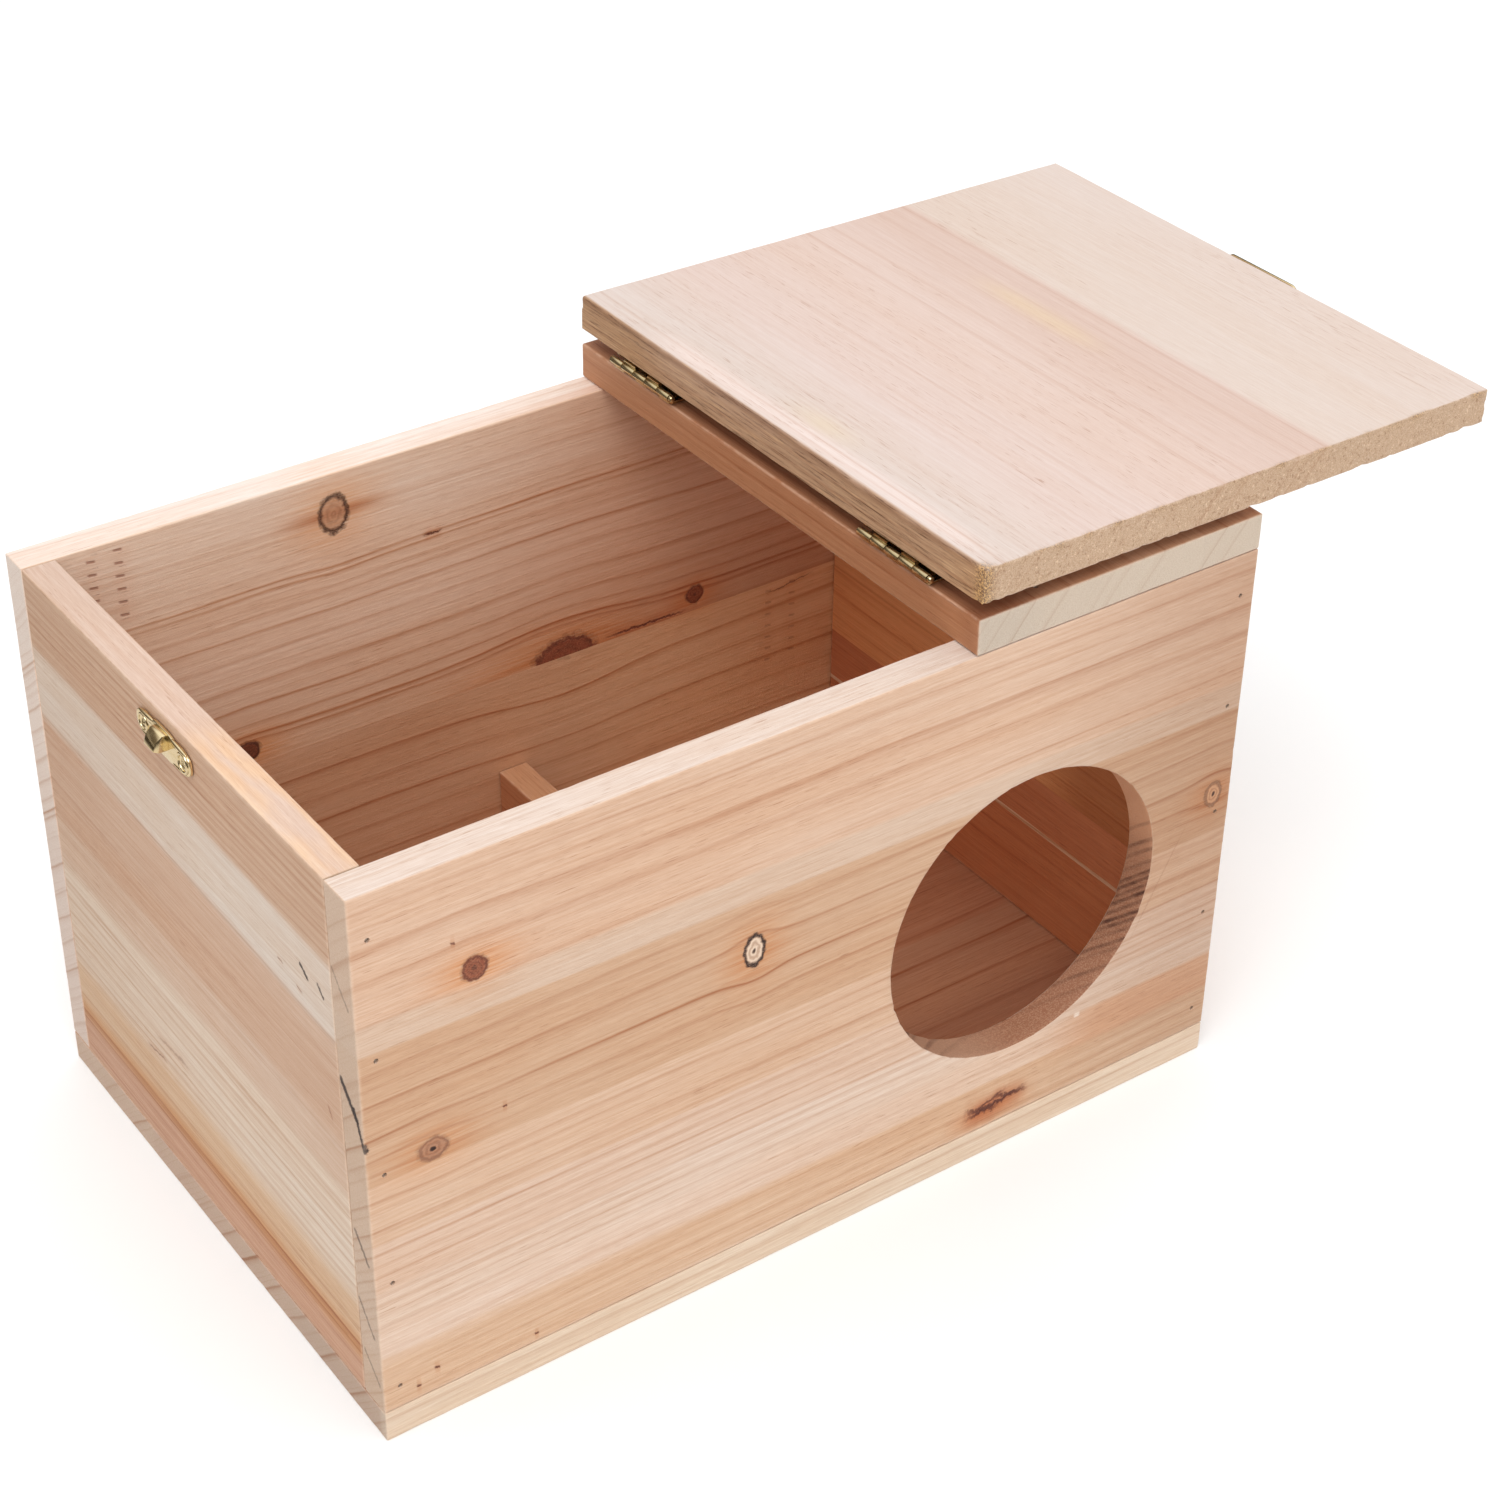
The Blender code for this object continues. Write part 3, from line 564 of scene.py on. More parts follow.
    def draw_scars(self):
        """Dark dents, each along a straight line between two places."""
        for start, finish, width, strength in self.look["scars"]:
            along = Vector(finish) - Vector(start)
            from_start = self.vector("SUBTRACT", self.place, start)
            share = self.add("ShaderNodeVectorMath", {0: from_start, 1: along / along.length_squared},
                             operation="DOT_PRODUCT").outputs["Value"]
            share = self.math("MINIMUM", self.math("MAXIMUM", share, 0.0), 1.0)
            path = self.add("ShaderNodeVectorMath", {0: along, "Scale": share}, operation="SCALE").outputs[0]
            away = self.add("ShaderNodeVectorMath", {0: from_start, 1: path}, operation="DISTANCE").outputs["Value"]
            ragged = self.times(self.wobble(self.place, (0.8, 0.8, 0.8), 12.0, 3.0, 0.7), 2.2)
            scar = self.times(self.step(self.sum(away, ragged), width, width * 0.3), strength)
            self.paint((58, 40, 36), scar)
            self.raised(scar, -2.0)

    def edges(self):
        """Pale arrises, partly wear and partly a painted highlight, and on a torn board the ragged sawn edge, a painted
        shadow along its upper part and its loose fibres.
        """
        look, end = self.look, self.end
        # Pale arrises: partly wear from handling, partly a painted highlight along them.
        worn_lit_edge = self.group(shared("worn_lit_edge"), {"Place": self.place, "Near Edge": self.stored("near_edge")})["Rub"]
        self.paint((240, 214, 190), worn_lit_edge, look["worn_lit_edge"])
        if not look["torn"]:
            return
        side = self.step(self.across, 1.4, 0.5)
        grain = self.noise(self.place, (0.05, 1.0, 1.5), 14.0, 5.0, 0.75)
        self.paint((104, 68, 44), side, self.step(grain, 0.5, 0.66), 0.9)
        self.paint((222, 184, 140), side, self.step(grain, 0.46, 0.34), 0.6)
        # Painted shadow over the upper part of the hinge-edge face, ragged with the grain.
        shadow = self.step(self.sum(self.depth, self.times(grain, 5.0)), 5.4, 3.4)
        self.stain((0.50, 0.36, 0.28), side, shadow, 0.55)
        flecks = self.noise(self.place, (0.9, 0.9, 0.9), 17.0, 4.0, 0.75)
        self.paint((150, 108, 74), end, self.step(flecks, 0.56, 0.66), 0.75)
        self.paint((236, 208, 176), end, self.step(flecks, 0.42, 0.34), 0.75)
        torn = self.stored("torn")
        self.paint((92, 62, 40), torn, self.dots)
        self.paint((226, 178, 112), torn, self.step(self.fibre["Dots"], 0.55, 0.40), 0.8)


def wood_material(name, look):
    """Edge-glued softwood after a look: its strips, strongest growth lines, knots and marks."""
    material, wood = fresh_material(name, 0.6, kind=Wood)
    wood.start(look)
    for part in (wood.strips, wood.grain, wood.draw_knots, wood.draw_cracks, wood.draw_combs, wood.end_grain,
                 wood.bore, wood.draw_scars, wood.edges):
        part()
    wood.put(wood.shader.inputs["Base Color"], wood.tint)
    wood.put(wood.shader.inputs["Roughness"], wood.rescale(wood.streak, 0.0, 1.0, 0.52, 0.68))
    wood.raised(wood.end, wood.dots, 0.8)
    bump(wood, wood.height, wood.look["relief"])
    return material


Knot = namedtuple("Knot", "heart stain rim cover pith mottle above", defaults=(0.3, None))

ROUND_KNOT = Knot((138, 66, 40), 1.0, 0.35, 0.96, 0.4, 0.55)
EYE_KNOT = Knot((232, 208, 184), 1.0, 1.15, 0.9, 0.9, 0.0)
PALE_KNOT = Knot((206, 158, 120), 0.8, 0.5, 0.7, 0.9)
SOFT_KNOT = Knot((170, 122, 94), 0.7, 0.25, 0.78, 1.0, 0.5)
RING_KNOT = Knot((198, 150, 118), 0.8, 0.95, 0.6, 0.0)
DARK_KNOT = Knot((108, 48, 30), 1.1, 0.5, 0.97, 0.2)
HALF_KNOT = DARK_KNOT._replace(above=93.4, heart=(140, 68, 46), mottle=0.55, rim=0.3)

# Each look's entries, in millimetres along (x), across (y) and into (z) its board:
#   axes: the frame axis, its sign and its start for each of those directions
#   strips: (height, colour, softness); joints: glue lines' heights; lines: growth lines (height, strength, width)
#   patches: ((x range, y range), colour, softness); light_fades: painted light and shade as (x start, x end, tint, y
#       low, y high, least z)
#   knots: (x, y, half length, half width, push, kind); cracks: (x, y, length, width, lean, strength)
#   combs: (x, y low, y high, pitch, half width, strength); scars: (start, end, width, strength)

FRONT_LOOK = {
    "axes": (("x", 1, 0), ("z", 1, 0), ("y", 1, -100)), "span": (0, 190), "seed": 3,
    "slope": 0.9, "waviness": 2.2, "spacing": 2.6, "rings": 0.22, "tilt": 0.016,
    "strips": ((0, (224, 195, 170)), (29, (230, 208, 191)), (40, (229, 209, 193)), (53, (225, 199, 179)),
               (70, (222, 191, 165)), (91, (212, 177, 147)), (134.5, (220, 196, 176)),
               (144, (224, 193, 169))),
    # Painted shade: the front wall is laid darker towards its right end.
    "light_fades": ((50, 150, (0.80, 0.74, 0.70), -5, 200, -9),),
    "bored": ((103, 0.4, 0.3), (96, 0.6, 0.6), (92.5, 0.5, 0.3), (88, 0.4, 0.3), (84.5, 0.9, 0.6),
              (82, 0.9, 0.5), (79.5, 0.8, 0.5), (77, 1.0, 0.4), (74, 0.7, 0.4), (71, 1.0, 0.6), (68.5, 0.8, 0.5),
              (65.5, 0.5, 0.3), (62, 0.8, 0.6), (59.5, 0.5, 0.4), (54, 0.6, 0.6), (49, 0.4, 0.4)),
    "end_colour": (203, 180, 159), "top_light_colour": (238, 230, 226),
    "joints": (91, 29.5), "strip_wander": 1.2, "end_rings": 0.9,
    "lines": ((181, 0.25, 1.2), (176, 0.15, 1.0), (169, 0.62, 2.6), (160, 0.60, 2.0), (155.5, 0.18, 0.8),
              (146.5, 0.35, 0.8), (131, 0.55, 2.2), (126, 0.2, 1.0), (120.5, 0.5, 1.8), (117, 0.2, 0.8),
              (109, 0.62, 1.2), (102, 0.55, 1.1), (97.5, 0.25, 0.8), (87.5, 0.32, 1.0), (84, 0.25, 0.8),
              (77, 0.52, 1.5), (73, 0.25, 0.9), (69, 0.35, 0.9), (65, 0.42, 1.2), (61, 0.3, 0.8),
              (57.5, 0.3, 0.8), (54.5, 0.42, 1.0), (51, 0.35, 0.8), (47.5, 0.25, 0.7), (43, 0.2, 0.7),
              (34, 0.2, 1.0), (27, 0.35, 1.3), (24, 0.25, 1.0), (19.5, 0.3, 1.2), (14, 0.2, 1.0)),
    "patches": ((((-151, 151), (12, 28)), (224, 194, 166)), (((92, 160), (26, 39.5)), (224, 185, 155), (15, 1.2)),
                (((94, 96), (38.2, 39.8)), (252, 246, 240)), (((50, 74), (13, 20)), (210, 150, 104), (9, 4))),
    "knots": ((-115, 151, 3.9, 3.9, 2.2, ROUND_KNOT), (-27.5, 118, 3.4, 5.2, 4.2, EYE_KNOT),
              (-130, 97.6, 4.6, 3.8, 2.4, SOFT_KNOT), (143, 103, 3.2, 4.4, 3.0, PALE_KNOT)),
    "scars": (((-150, 124, 10), (-150, 115, 3), 1.5, 0.95), ((-150, 118, 4), (-149.6, 106, 0), 1.1, 0.95),
              ((-150, 160, 10), (-150, 151, 3), 0.7, 0.35), ((-150, 72, 9), (-150, 64, 3), 1.0, 0.6),
              ((-150, 47, 10), (-150, 37, 3), 0.8, 0.5), ((-150, 28, 9), (-150, 20, 2), 0.8, 0.4)),
    "cracks": ((-133, 19, 2.2, 0.7, 0.2, 0.9), (-139, 15.5, 2.0, 0.7, -0.2, 0.9), (-101, 14, 1.8, 0.5, 0.2, 0.9),
               (-121, 161.5, 1.8, 0.6, 0.3, 0.8), (-108, 101.5, 1.8, 0.5, 0.2, 0.9),
               (64, 18.3, 28, 1.1, -0.16, 1.0), (59, 18.0, 16, 1.5, 0.22, 0.9), (70, 19.6, 16, 1.0, 0.16, 0.9),
               (62, 20.4, 14, 0.7, -0.35, 0.8), (124, 78, 24, 0.25, -1.9, 0.25)),
}
BACK_LOOK = {
    "axes": (("x", 1, 0), ("z", 1, 0), ("y", -1, 89)), "span": (0, 190), "seed": 11,
    "slope": -0.8, "waviness": 3.0, "spacing": 3.0, "rings": 0.42, "tilt": -0.006, "line_gain": 2.0,
    # The strips lighten upwards, partly the wood's own tone and partly painted light falling in from the top.
    "strips": ((0, (221, 178, 145)), (93.5, (231, 194, 164), 2.5), (112, (248, 219, 196), 34),
               (160, (250, 228, 209), 34)),
    # Painted shade over the upper right, under the lid, and painted light lifting the lower part towards the right.
    "light_fades": ((-30, 70, (0.90, 0.75, 0.66), 93.5, 200, -4), (-40, 130, (1.30, 1.32, 1.20), -5, 93.2, -4)),
    "combs": ((-129, 160, 184, 4.4, 1.8, 0.65), (-120.5, 158, 184, 4.4, 1.8, 0.65), (112, 60, 92, 4.6, 1.6, 0.35),
              (122, 62, 92, 4.6, 1.6, 0.35)),
    "end_colour": (216, 206, 199), "top_light_colour": (250, 240, 236), "end_rings": 0.8,
    "lines": ((174, 0.25, 1.0), (156, 0.5, 0.9), (153.5, 0.4, 0.8), (149.5, 0.35, 0.8), (146, 0.3, 0.8),
              (141, 0.4, 1.0), (134, 0.5, 1.2), (123, 0.5, 1.3), (115, 0.4, 1.2), (108.5, 0.35, 0.9),
              (104, 0.6, 1.3), (101.5, 0.5, 1.0), (83, 0.5, 1.8), (73, 0.35, 1.4), (64, 0.5, 1.6),
              (55, 0.3, 1.2), (44, 0.45, 1.8), (33, 0.35, 1.4), (22, 0.4, 1.6)),
    "knots": ((-50.5, 173, 4.8, 6.3, 2.6, RING_KNOT), (30, 93.0, 11.8, 7.6, 8.0, HALF_KNOT),
              (-86, 99.5, 4.2, 3.6, 2.0, DARK_KNOT), (81.5, 99.5, 3.6, 3.4, 0.8, ROUND_KNOT)),
    "patches": ((((-66, -36), (172, 174.5)), (206, 146, 104), (9, 3)),),
    "cracks": ((62, 94.6, 38, 0.6, 0.0, 0.9), (-17, 155.4, 8, 0.6, -0.02, 0.9), (121, 90.5, 22, 0.4, -0.12, 0.6)),
}
LEFT_LOOK = {
    "axes": (("y", -1, 0), ("z", 1, 0), ("x", 1, -150)), "span": (0, 190), "seed": 21,
    "slope": 0.7, "waviness": 2.6, "spacing": 2.8, "rings": 0.22, "tilt": 0.02,
    "strips": ((0, (202, 161, 135)), (24, (202, 153, 106), 4), (31, (211, 181, 150), 6), (46, (217, 201, 184), 7),
               (84, (208, 183, 163), 5), (101, (202, 170, 146), 3), (136.5, (213, 200, 188), 4),
               (160.5, (200, 169, 144), 3)),
    # Painted shade: the left wall is laid a little darker towards the back.
    "light_fades": ((20, -90, (0.92, 0.91, 0.90), -5, 200, -9),), "swirl": (14, 96, (240, 208, 178)),
    "top_light_colour": (238, 217, 206), "strip_wander": 5.0, "joints": (45.5, 84, 136.5),
    "lines": ((184, 0.2, 1.0), (181, 0.3, 0.8), (178, 0.35, 0.8), (175.5, 0.3, 0.7), (173, 0.4, 0.8),
              (170, 0.35, 0.7), (167.5, 0.4, 0.8), (164.5, 0.35, 0.7), (162, 0.3, 0.7), (125, 0.15, 1.2),
              (116, 0.2, 1.2), (97, 0.25, 1.5), (77, 0.42, 1.1), (75, 0.3, 0.8), (71, 0.45, 1.0),
              (68, 0.38, 0.8), (65.5, 0.35, 0.8), (61, 0.25, 0.8), (57, 0.3, 1.2), (53, 0.4, 0.9),
              (49.5, 0.45, 0.9), (46.5, 0.2, 0.8), (40, 0.2, 1.2), (34, 0.25, 1.6), (27.5, 0.75, 2.2),
              (24.5, 0.5, 1.6), (20, 0.25, 1.2), (14, 0.2, 1.0)),
    "scars": (((72, 149.5, 0), (75, 147, 0), 0.9, 0.9), ((81, 149, 0), (83.5, 146, 0), 0.8, 0.8)),
    "cracks": ((60, 143, 4, 0.3, 0.1, 0.6), (70, 140, 4, 0.3, 0.1, 0.6), (-20, 57, 26, 0.9, -0.08, 0.3),
               (-32, 48.6, 16, 0.5, -0.1, 0.5), (82, 107, 3.0, 0.5, 1.5, 0.5)),
}
RIGHT_LOOK = {
    "axes": (("y", 1, 0), ("z", 1, 0), ("x", -1, 150)), "span": (0, 190), "seed": 33,
    "slope": -0.6, "waviness": 3.2, "spacing": 3.6, "rings": 0.3,
    # Painted shadow of the roof on the upper inner face near the front.
    "light_fades": ((-15, -52, (0.60, 0.48, 0.42), 66, 200, 7),),
    "strips": ((0, (218, 172, 136)), (46.5, (226, 192, 162)), (92, (220, 180, 150)), (140, (230, 196, 168))),
    # The inner face's own orange, with the bands from 66 mm up laid lighter as painted light from above.
    "inner": ((0, (216, 142, 98)), (45.7, (243, 214, 186)), (47.2, (213, 141, 101)), (66, (246, 182, 128)),
              (92, (242, 178, 124)), (140, (240, 184, 144))),
    "joints": (92, 140),
    "lines": ((172, 0.4, 1.6), (158, 0.35, 1.2), (149, 0.3, 1.0), (128, 0.5, 1.6), (117, 0.35, 1.2),
              (104, 0.4, 1.4), (84, 0.35, 1.2), (76, 0.5, 1.8), (66, 0.3, 1.0), (40, 0.5, 2.0),
              (32, 0.4, 1.4), (24, 0.55, 2.0), (16, 0.3, 1.2)),
    "knots": ((-34, 116, 4.2, 3.6, 2.8, ROUND_KNOT),),
}
FLOOR_LOOK = {
    "axes": (("x", 1, 0), ("y", 1, 0), ("z", 1, 0)), "span": (-105, 105), "seed": 41,
    "slope": 1.1, "waviness": 2.6, "spacing": 3.0, "rings": 0.35,
    "end_colour": (197, 179, 162),
    "strips": ((-105, (231, 213, 192)), (-97, (182, 130, 101), 2), (-48, (206, 155, 123), 14), (-15, (209, 153, 120)),
               (44, (217, 172, 141))),
    "joints": (-15, 44),
    "lines": ((-92, 0.3, 1.2), (-78, 0.4, 1.4), (-13, 0.8, 2.6), (-60, 0.45, 1.8), (-42, 0.35, 1.3), (-28, 0.5, 1.8),
              (0, 0.4, 1.5), (16, 0.35, 1.2), (30, 0.45, 1.6), (60, 0.35, 1.4), (80, 0.4, 1.6)),
    "knots": ((-66, 22, 4.4, 3.8, 2.4, ROUND_KNOT),),
}
ROOF_LOOK = {
    "axes": (("y", 1, 0), ("x", 1, 0), ("z", -1, 198.5)), "span": (40, 155), "seed": 52,
    "slope": 0.8, "waviness": 1.6, "spacing": 3.2, "rings": 0.3,
    "end_colour": (224, 214, 197), "end_rings": 0.5,
    # The dark strip from 46.6 mm is painted shade, where the top shows in the hinge gap under the lid.
    "strips": ((40, (190, 138, 102)), (46.6, (170, 118, 86), 0.4), (66, (208, 164, 132), 14), (92, (214, 174, 144)),
               (128, (207, 163, 130))),
    # Painted shade in the hinge gap towards the front end.
    "light_fades": ((-88, -97, (0.76, 0.68, 0.62), 46, 200, -2),),
    "joints": (92, 128),
    "lines": ((50, 0.4, 1.0), (57, 0.3, 1.0), (66, 0.45, 1.5), (78, 0.4, 1.3), (101, 0.35, 1.2),
              (113, 0.45, 1.6), (136, 0.4, 1.4), (144, 0.3, 1.0)),
}
PARTITION_LOOK = {
    "axes": (("y", 1, 0), ("z", 1, 0), ("x", 1, 3)), "span": (0, 62), "seed": 63,
    "slope": 0.8, "waviness": 2.0, "spacing": 3.0, "rings": 0.3,
    "strips": ((0, (204, 148, 110)), (34, (208, 152, 114))), "top_light_colour": (222, 178, 142),
    "joints": (34,),
    "lines": ((52, 0.35, 1.2), (44, 0.4, 1.3), (27, 0.35, 1.2), (18, 0.45, 1.4)),
}
LID_LOOK = {
    "axes": (("y", 1, 0), ("x", 1, 45.9), ("z", -1, 214.8)), "span": (-2, 196), "seed": 71,
    "slope": 0.9, "waviness": 1.4, "spacing": 3.0, "rings": 0.14, "warmth": 0.3, "streaks": 0.24,
    "hairs": 0.26, "relief": 0.10, "torn": True, "end_tint": 0.9, "end_dots": 1.0, "worn_lit_edge": 0.12,
    "strips": ((-2, (184, 146, 108)), (1.2, (223, 210, 204)), (26, (225, 206, 199), 26), (60, (225, 204, 195), 20),
               (100, (220, 196, 185), 22), (128, (224, 208, 198), 2.5), (170, (225, 210, 202), 30)),
    "end_colour": (209, 180, 150), "line_gain": 1.3,
    "patches": ((((-20, 0), (11, 15)), (231, 214, 186), (14, 6)), (((-12, 36), (110, 115)), (227, 204, 176), (14, 5)),
                (((-90, 60), (2, 9)), (236, 221, 216), (14, 3))),
    "lines": ((57, 0.12, 0.9), (72, 0.16, 0.8), (87.5, 0.32, 0.8), (97.5, 0.30, 0.8), (117, 0.14, 0.8),
              (122, 0.14, 0.7), (127, 0.24, 0.7), (38, 0.14, 0.8), (44, 0.10, 0.7), (4.5, 0.25, 0.5),
              (7.5, 0.3, 0.5), (10, 0.22, 0.6), (17, 0.25, 0.5), (21, 0.16, 0.6), (150, 0.06, 1.0)),
}


# ------------------------------------------------------------------- geometry

def grid_line(low, high, cell, near):
    """Places from low to high, with extra ones at the near distances from both ends."""
    near = np.array(near)
    count = max(3, round((high - low) / cell))
    middle = np.linspace(low + near[-1], high - near[-1], count)
    return np.concatenate([low + near[:-1], middle, (high - near[:-1])[::-1]])


def lattice_box(lines):
    """A closed box whose surface is a grid of quads: its points and faces."""
    shape = tuple(len(line) for line in lines)
    i, j, k = np.indices(shape)
    skin = ((i == 0) | (i == shape[0] - 1) | (j == 0) | (j == shape[1] - 1)
            | (k == 0) | (k == shape[2] - 1))
    index = -np.ones(shape, int)
    index[skin] = np.arange(skin.sum())
    points = np.stack([lines[0][i[skin]], lines[1][j[skin]], lines[2][k[skin]]], 1)
    faces = []
    for grid, flip in ((index[:, :, 0], True), (index[:, :, -1], False), (index[0], True),
                       (index[-1], False), (index[:, 0, :], False), (index[:, -1, :], True)):
        quads = np.stack([grid[:-1, :-1], grid[1:, :-1], grid[1:, 1:], grid[:-1, 1:]], -1).reshape(-1, 4)
        faces.append(quads[:, ::-1] if flip else quads)
    return points, np.concatenate(faces)


def rounded(points, low, high, radius):
    """Points near an arris moved in to a round of the radius given for each of them."""
    radius = radius[:, None]
    inner = np.clip(points, low + radius, high - radius)
    out = points - inner
    length = np.linalg.norm(out, axis=1, keepdims=True)
    return inner + out * radius / np.maximum(length, 1e-12)


def rough(points, scale_mm, seed):
    """Smooth noise from -1 to 1 at each point."""
    factor = 1.0 / (scale_mm * MM)
    shift = Vector((seed * 7.3, seed * 3.1, seed * 5.7))
    return np.array([noise.noise(Vector(point) * factor + shift) for point in points])


def mesh_object(name, points, faces):
    mesh = bpy.data.meshes.new(name)
    mesh.from_pydata([tuple(point) for point in points], [], [tuple(int(v) for v in face) for face in faces])
    mesh.update()
    piece = bpy.data.objects.new(name, mesh)
    bpy.context.scene.collection.objects.link(piece)
    return piece


def settle(piece):
    """Turns the piece's modifiers into plain mesh."""
    graph = bpy.context.evaluated_depsgraph_get()
    graph.update()
    mesh = bpy.data.meshes.new_from_object(piece.evaluated_get(graph), depsgraph=graph)
    piece.modifiers.clear()
    piece.data = mesh
    return piece


def carve(piece, cutter, operation="DIFFERENCE"):
    """Cuts the cutter from the piece and removes the cutter."""
    modifier = piece.modifiers.new("cut", "BOOLEAN")
    modifier.operation, modifier.object, modifier.solver = operation, cutter, "EXACT"
    modifier.use_hole_tolerant = True
    before = len(piece.data.polygons)
    settle(piece)
    bpy.data.objects.remove(cutter)
    if not piece.data.polygons or len(piece.data.polygons) < before * 0.3:
        raise RuntimeError(f"the cut failed on {piece.name}")
    return piece


def turned_shape(name, profile, start, direction, sides, ripple=None):
    """A closed turned solid; profile holds (distance along, radius) from one tip to the other."""
    direction = Vector(direction).normalized()
    across = direction.orthogonal().normalized()
    third = direction.cross(across)
    points, faces, rings = [], [], []
    for along, radius in profile:
        centre = Vector(start) + direction * along
        if radius <= 1e-9:
            rings.append([len(points)])
            points.append(centre)
            continue
        rings.append(list(range(len(points), len(points) + sides)))
        for side in range(sides):
            angle = 2 * math.pi * side / sides
            reach = radius + (ripple(angle, along) if ripple else 0.0)
            points.append(centre + (across * math.cos(angle) + third * math.sin(angle)) * reach)
    for first, second in zip(rings, rings[1:]):
        for side in range(sides):
            after = (side + 1) % sides
            if len(first) == 1:
                faces.append((first[0], second[after], second[side]))
            elif len(second) == 1:
                faces.append((first[side], first[after], second[0]))
            else:
                faces.append((first[side], first[after], second[after], second[side]))
    return mesh_object(name, points, faces)


def faces_out(piece):
    """Makes the piece's faces point outwards."""
    shape = bmesh.new()
    shape.from_mesh(piece.data)
    bmesh.ops.recalc_face_normals(shape, faces=shape.faces)
    shape.to_mesh(piece.data)
    shape.free()
    return piece


def joined(name, pieces):
    """One object from several."""
    shape = bmesh.new()
    for piece in pieces:
        shape.from_mesh(piece.data)
    mesh = bpy.data.meshes.new(name)
    shape.to_mesh(mesh)
    shape.free()
    for piece in pieces:
        bpy.data.objects.remove(piece)
    made = bpy.data.objects.new(name, mesh)
    bpy.context.scene.collection.objects.link(made)
    return made


def smooth(piece, degrees=32.0):
    """Smooth shading, kept crisp where faces meet at more than the angle."""
    mesh = piece.data
    mesh.polygons.foreach_set("use_smooth", [True] * len(mesh.polygons))
    mesh.set_sharp_from_angle(angle=math.radians(degrees))
    mesh.update()
    return piece


def finished(piece, material, body, nodes):
    """Gives a made piece its finish and its place in the frame."""
    piece.data.materials.clear()
    piece.data.materials.append(material)
    piece.data.polygons.foreach_set("material_index", [0] * len(piece.data.polygons))
    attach(piece, body)
    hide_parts(*nodes)
    return piece


def turn_about(piece, pivot, angle):
    """Turns a mesh about an axis through the pivot that runs from front to back."""
    piece.data.transform(Matrix.Translation(pivot) @ Matrix.Rotation(angle, 4, "Y")
                         @ Matrix.Translation(-pivot))
    return piece


def vectors(items, key):
    """A vector of each item, as an array with a row for each."""
    values = np.zeros(len(items) * 3)
    items.foreach_get(key, values)
    return values.reshape(-1, 3)


def store(mesh, name, domain, values):
    """Stores a number for each face or each point of a mesh."""
    mesh.attributes.new(name, "FLOAT", domain).data.foreach_set("value", values)


def insets(points, low, high):
    """How far each point lies inside the box along each axis, nearest first."""
    return np.sort(np.minimum(points - low, high - points), axis=1)


def note_bore(piece, centre, radius):
    """Stores which faces lie on the wall of the entrance hole."""
    middles = vectors(piece.data.polygons, "center")
    away = np.hypot(middles[:, 0] - centre[0], middles[:, 2] - centre[2])
    bored = (np.abs(away - radius) < 0.7 * MM).astype(float)
    bored *= np.abs(vectors(piece.data.polygons, "normal")[:, 1]) < 0.6
    store(piece.data, "bored", "FACE", bored)


THINNEST_WALL = 40 * MM
EDGE_BAND_WIDTH = 0.9 * MM


def note_surface(piece, grain, low, high):
    """Stores for each face how far it is cut across the grain, and for each point how near an arris it is."""
    mesh = piece.data
    normals = vectors(mesh.polygons, "normal")
    store(mesh, "end_grain", "FACE", np.abs(normals[:, AXES[grain]]) ** 1.5)
    upright = high[2] - low[2] > THINNEST_WALL
    # Marks the faces of a wall that face up, where the wood is laid paler as painted light.
    store(mesh, "upward_face", "FACE", np.clip(normals[:, 2], 0, 1) ** 8 if upright else np.zeros(len(normals)))
    inset = insets(vectors(mesh.vertices, "co"), low, high)
    near = np.clip(1.0 - np.maximum(inset[:, 0], inset[:, 1]) / EDGE_BAND_WIDTH, 0.0, 1.0)
    store(mesh, "near_edge", "POINT", near)


NEAR_EDGE = [value * MM for value in (0.0, 0.12, 0.3, 0.55, 0.95, 1.6, 2.6)]
EDGE_REACH = 4.0 * MM
SHARPEST = 0.12 * MM


def board(node, seed, chips):
    """A sawn board as a dense box with worn arrises, chipped a little where the noise says."""
    sizes = bpy.context.scene.nest_box_sizes
    low, high = (np.array(corner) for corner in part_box(node))
    points, faces = lattice_box([grid_line(low[axis], high[axis], sizes.cell, NEAR_EDGE) for axis in range(3)])
    edge = insets(points, low, high)[:, 1] < EDGE_REACH
    radius = np.full(len(points), sizes.arris)
    worn = rough(points[edge], 26, seed)
    close = rough(points[edge], 5, seed + 1)
    chip = np.clip(rough(points[edge], 3.2, seed + 2) - 0.38, 0, 1) * chips * MM
    radius[edge] = np.clip(sizes.arris * (1.0 + 0.55 * worn + 0.25 * close) + chip, SHARPEST, 2.4 * MM)
    return mesh_object("wood_" + node, rounded(points, low, high, radius), faces), low, high


def wood_piece(node, seed, chips, look, finish, cutters=()):
    """A finished board over its CAD node, with the cutters' holes in it."""
    piece, low, high = board(node, seed, chips)
    if cutters:
        carve(piece, joined("cutters", cutters))
    note_surface(piece, look["axes"][0][0], low, high)
    smooth(piece)
    return finished(piece, wood_material(finish, look), "box", [node])


def brad_heads(nodes):
    """Where each brad's head sits and which way it faces."""
    heads = []
    for node in nodes:
        low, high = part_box(node)
        long = max(range(3), key=lambda axis: high[axis] - low[axis])
        outside = abs(high[long]) > abs(low[long]) if long == 1 else node.startswith("roof")
        way = Vector((0, 0, 0))
        way[long] = 1.0 if outside else -1.0
        head = (low + high) / 2
        head[long] = high[long] if outside else low[long]
        heads.append((head, way))
    return heads


def brads_of(*prefixes):
    """The CAD brads whose names start with each prefix in turn."""
    return [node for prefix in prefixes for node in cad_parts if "_brad_" in node and node.startswith(prefix)]


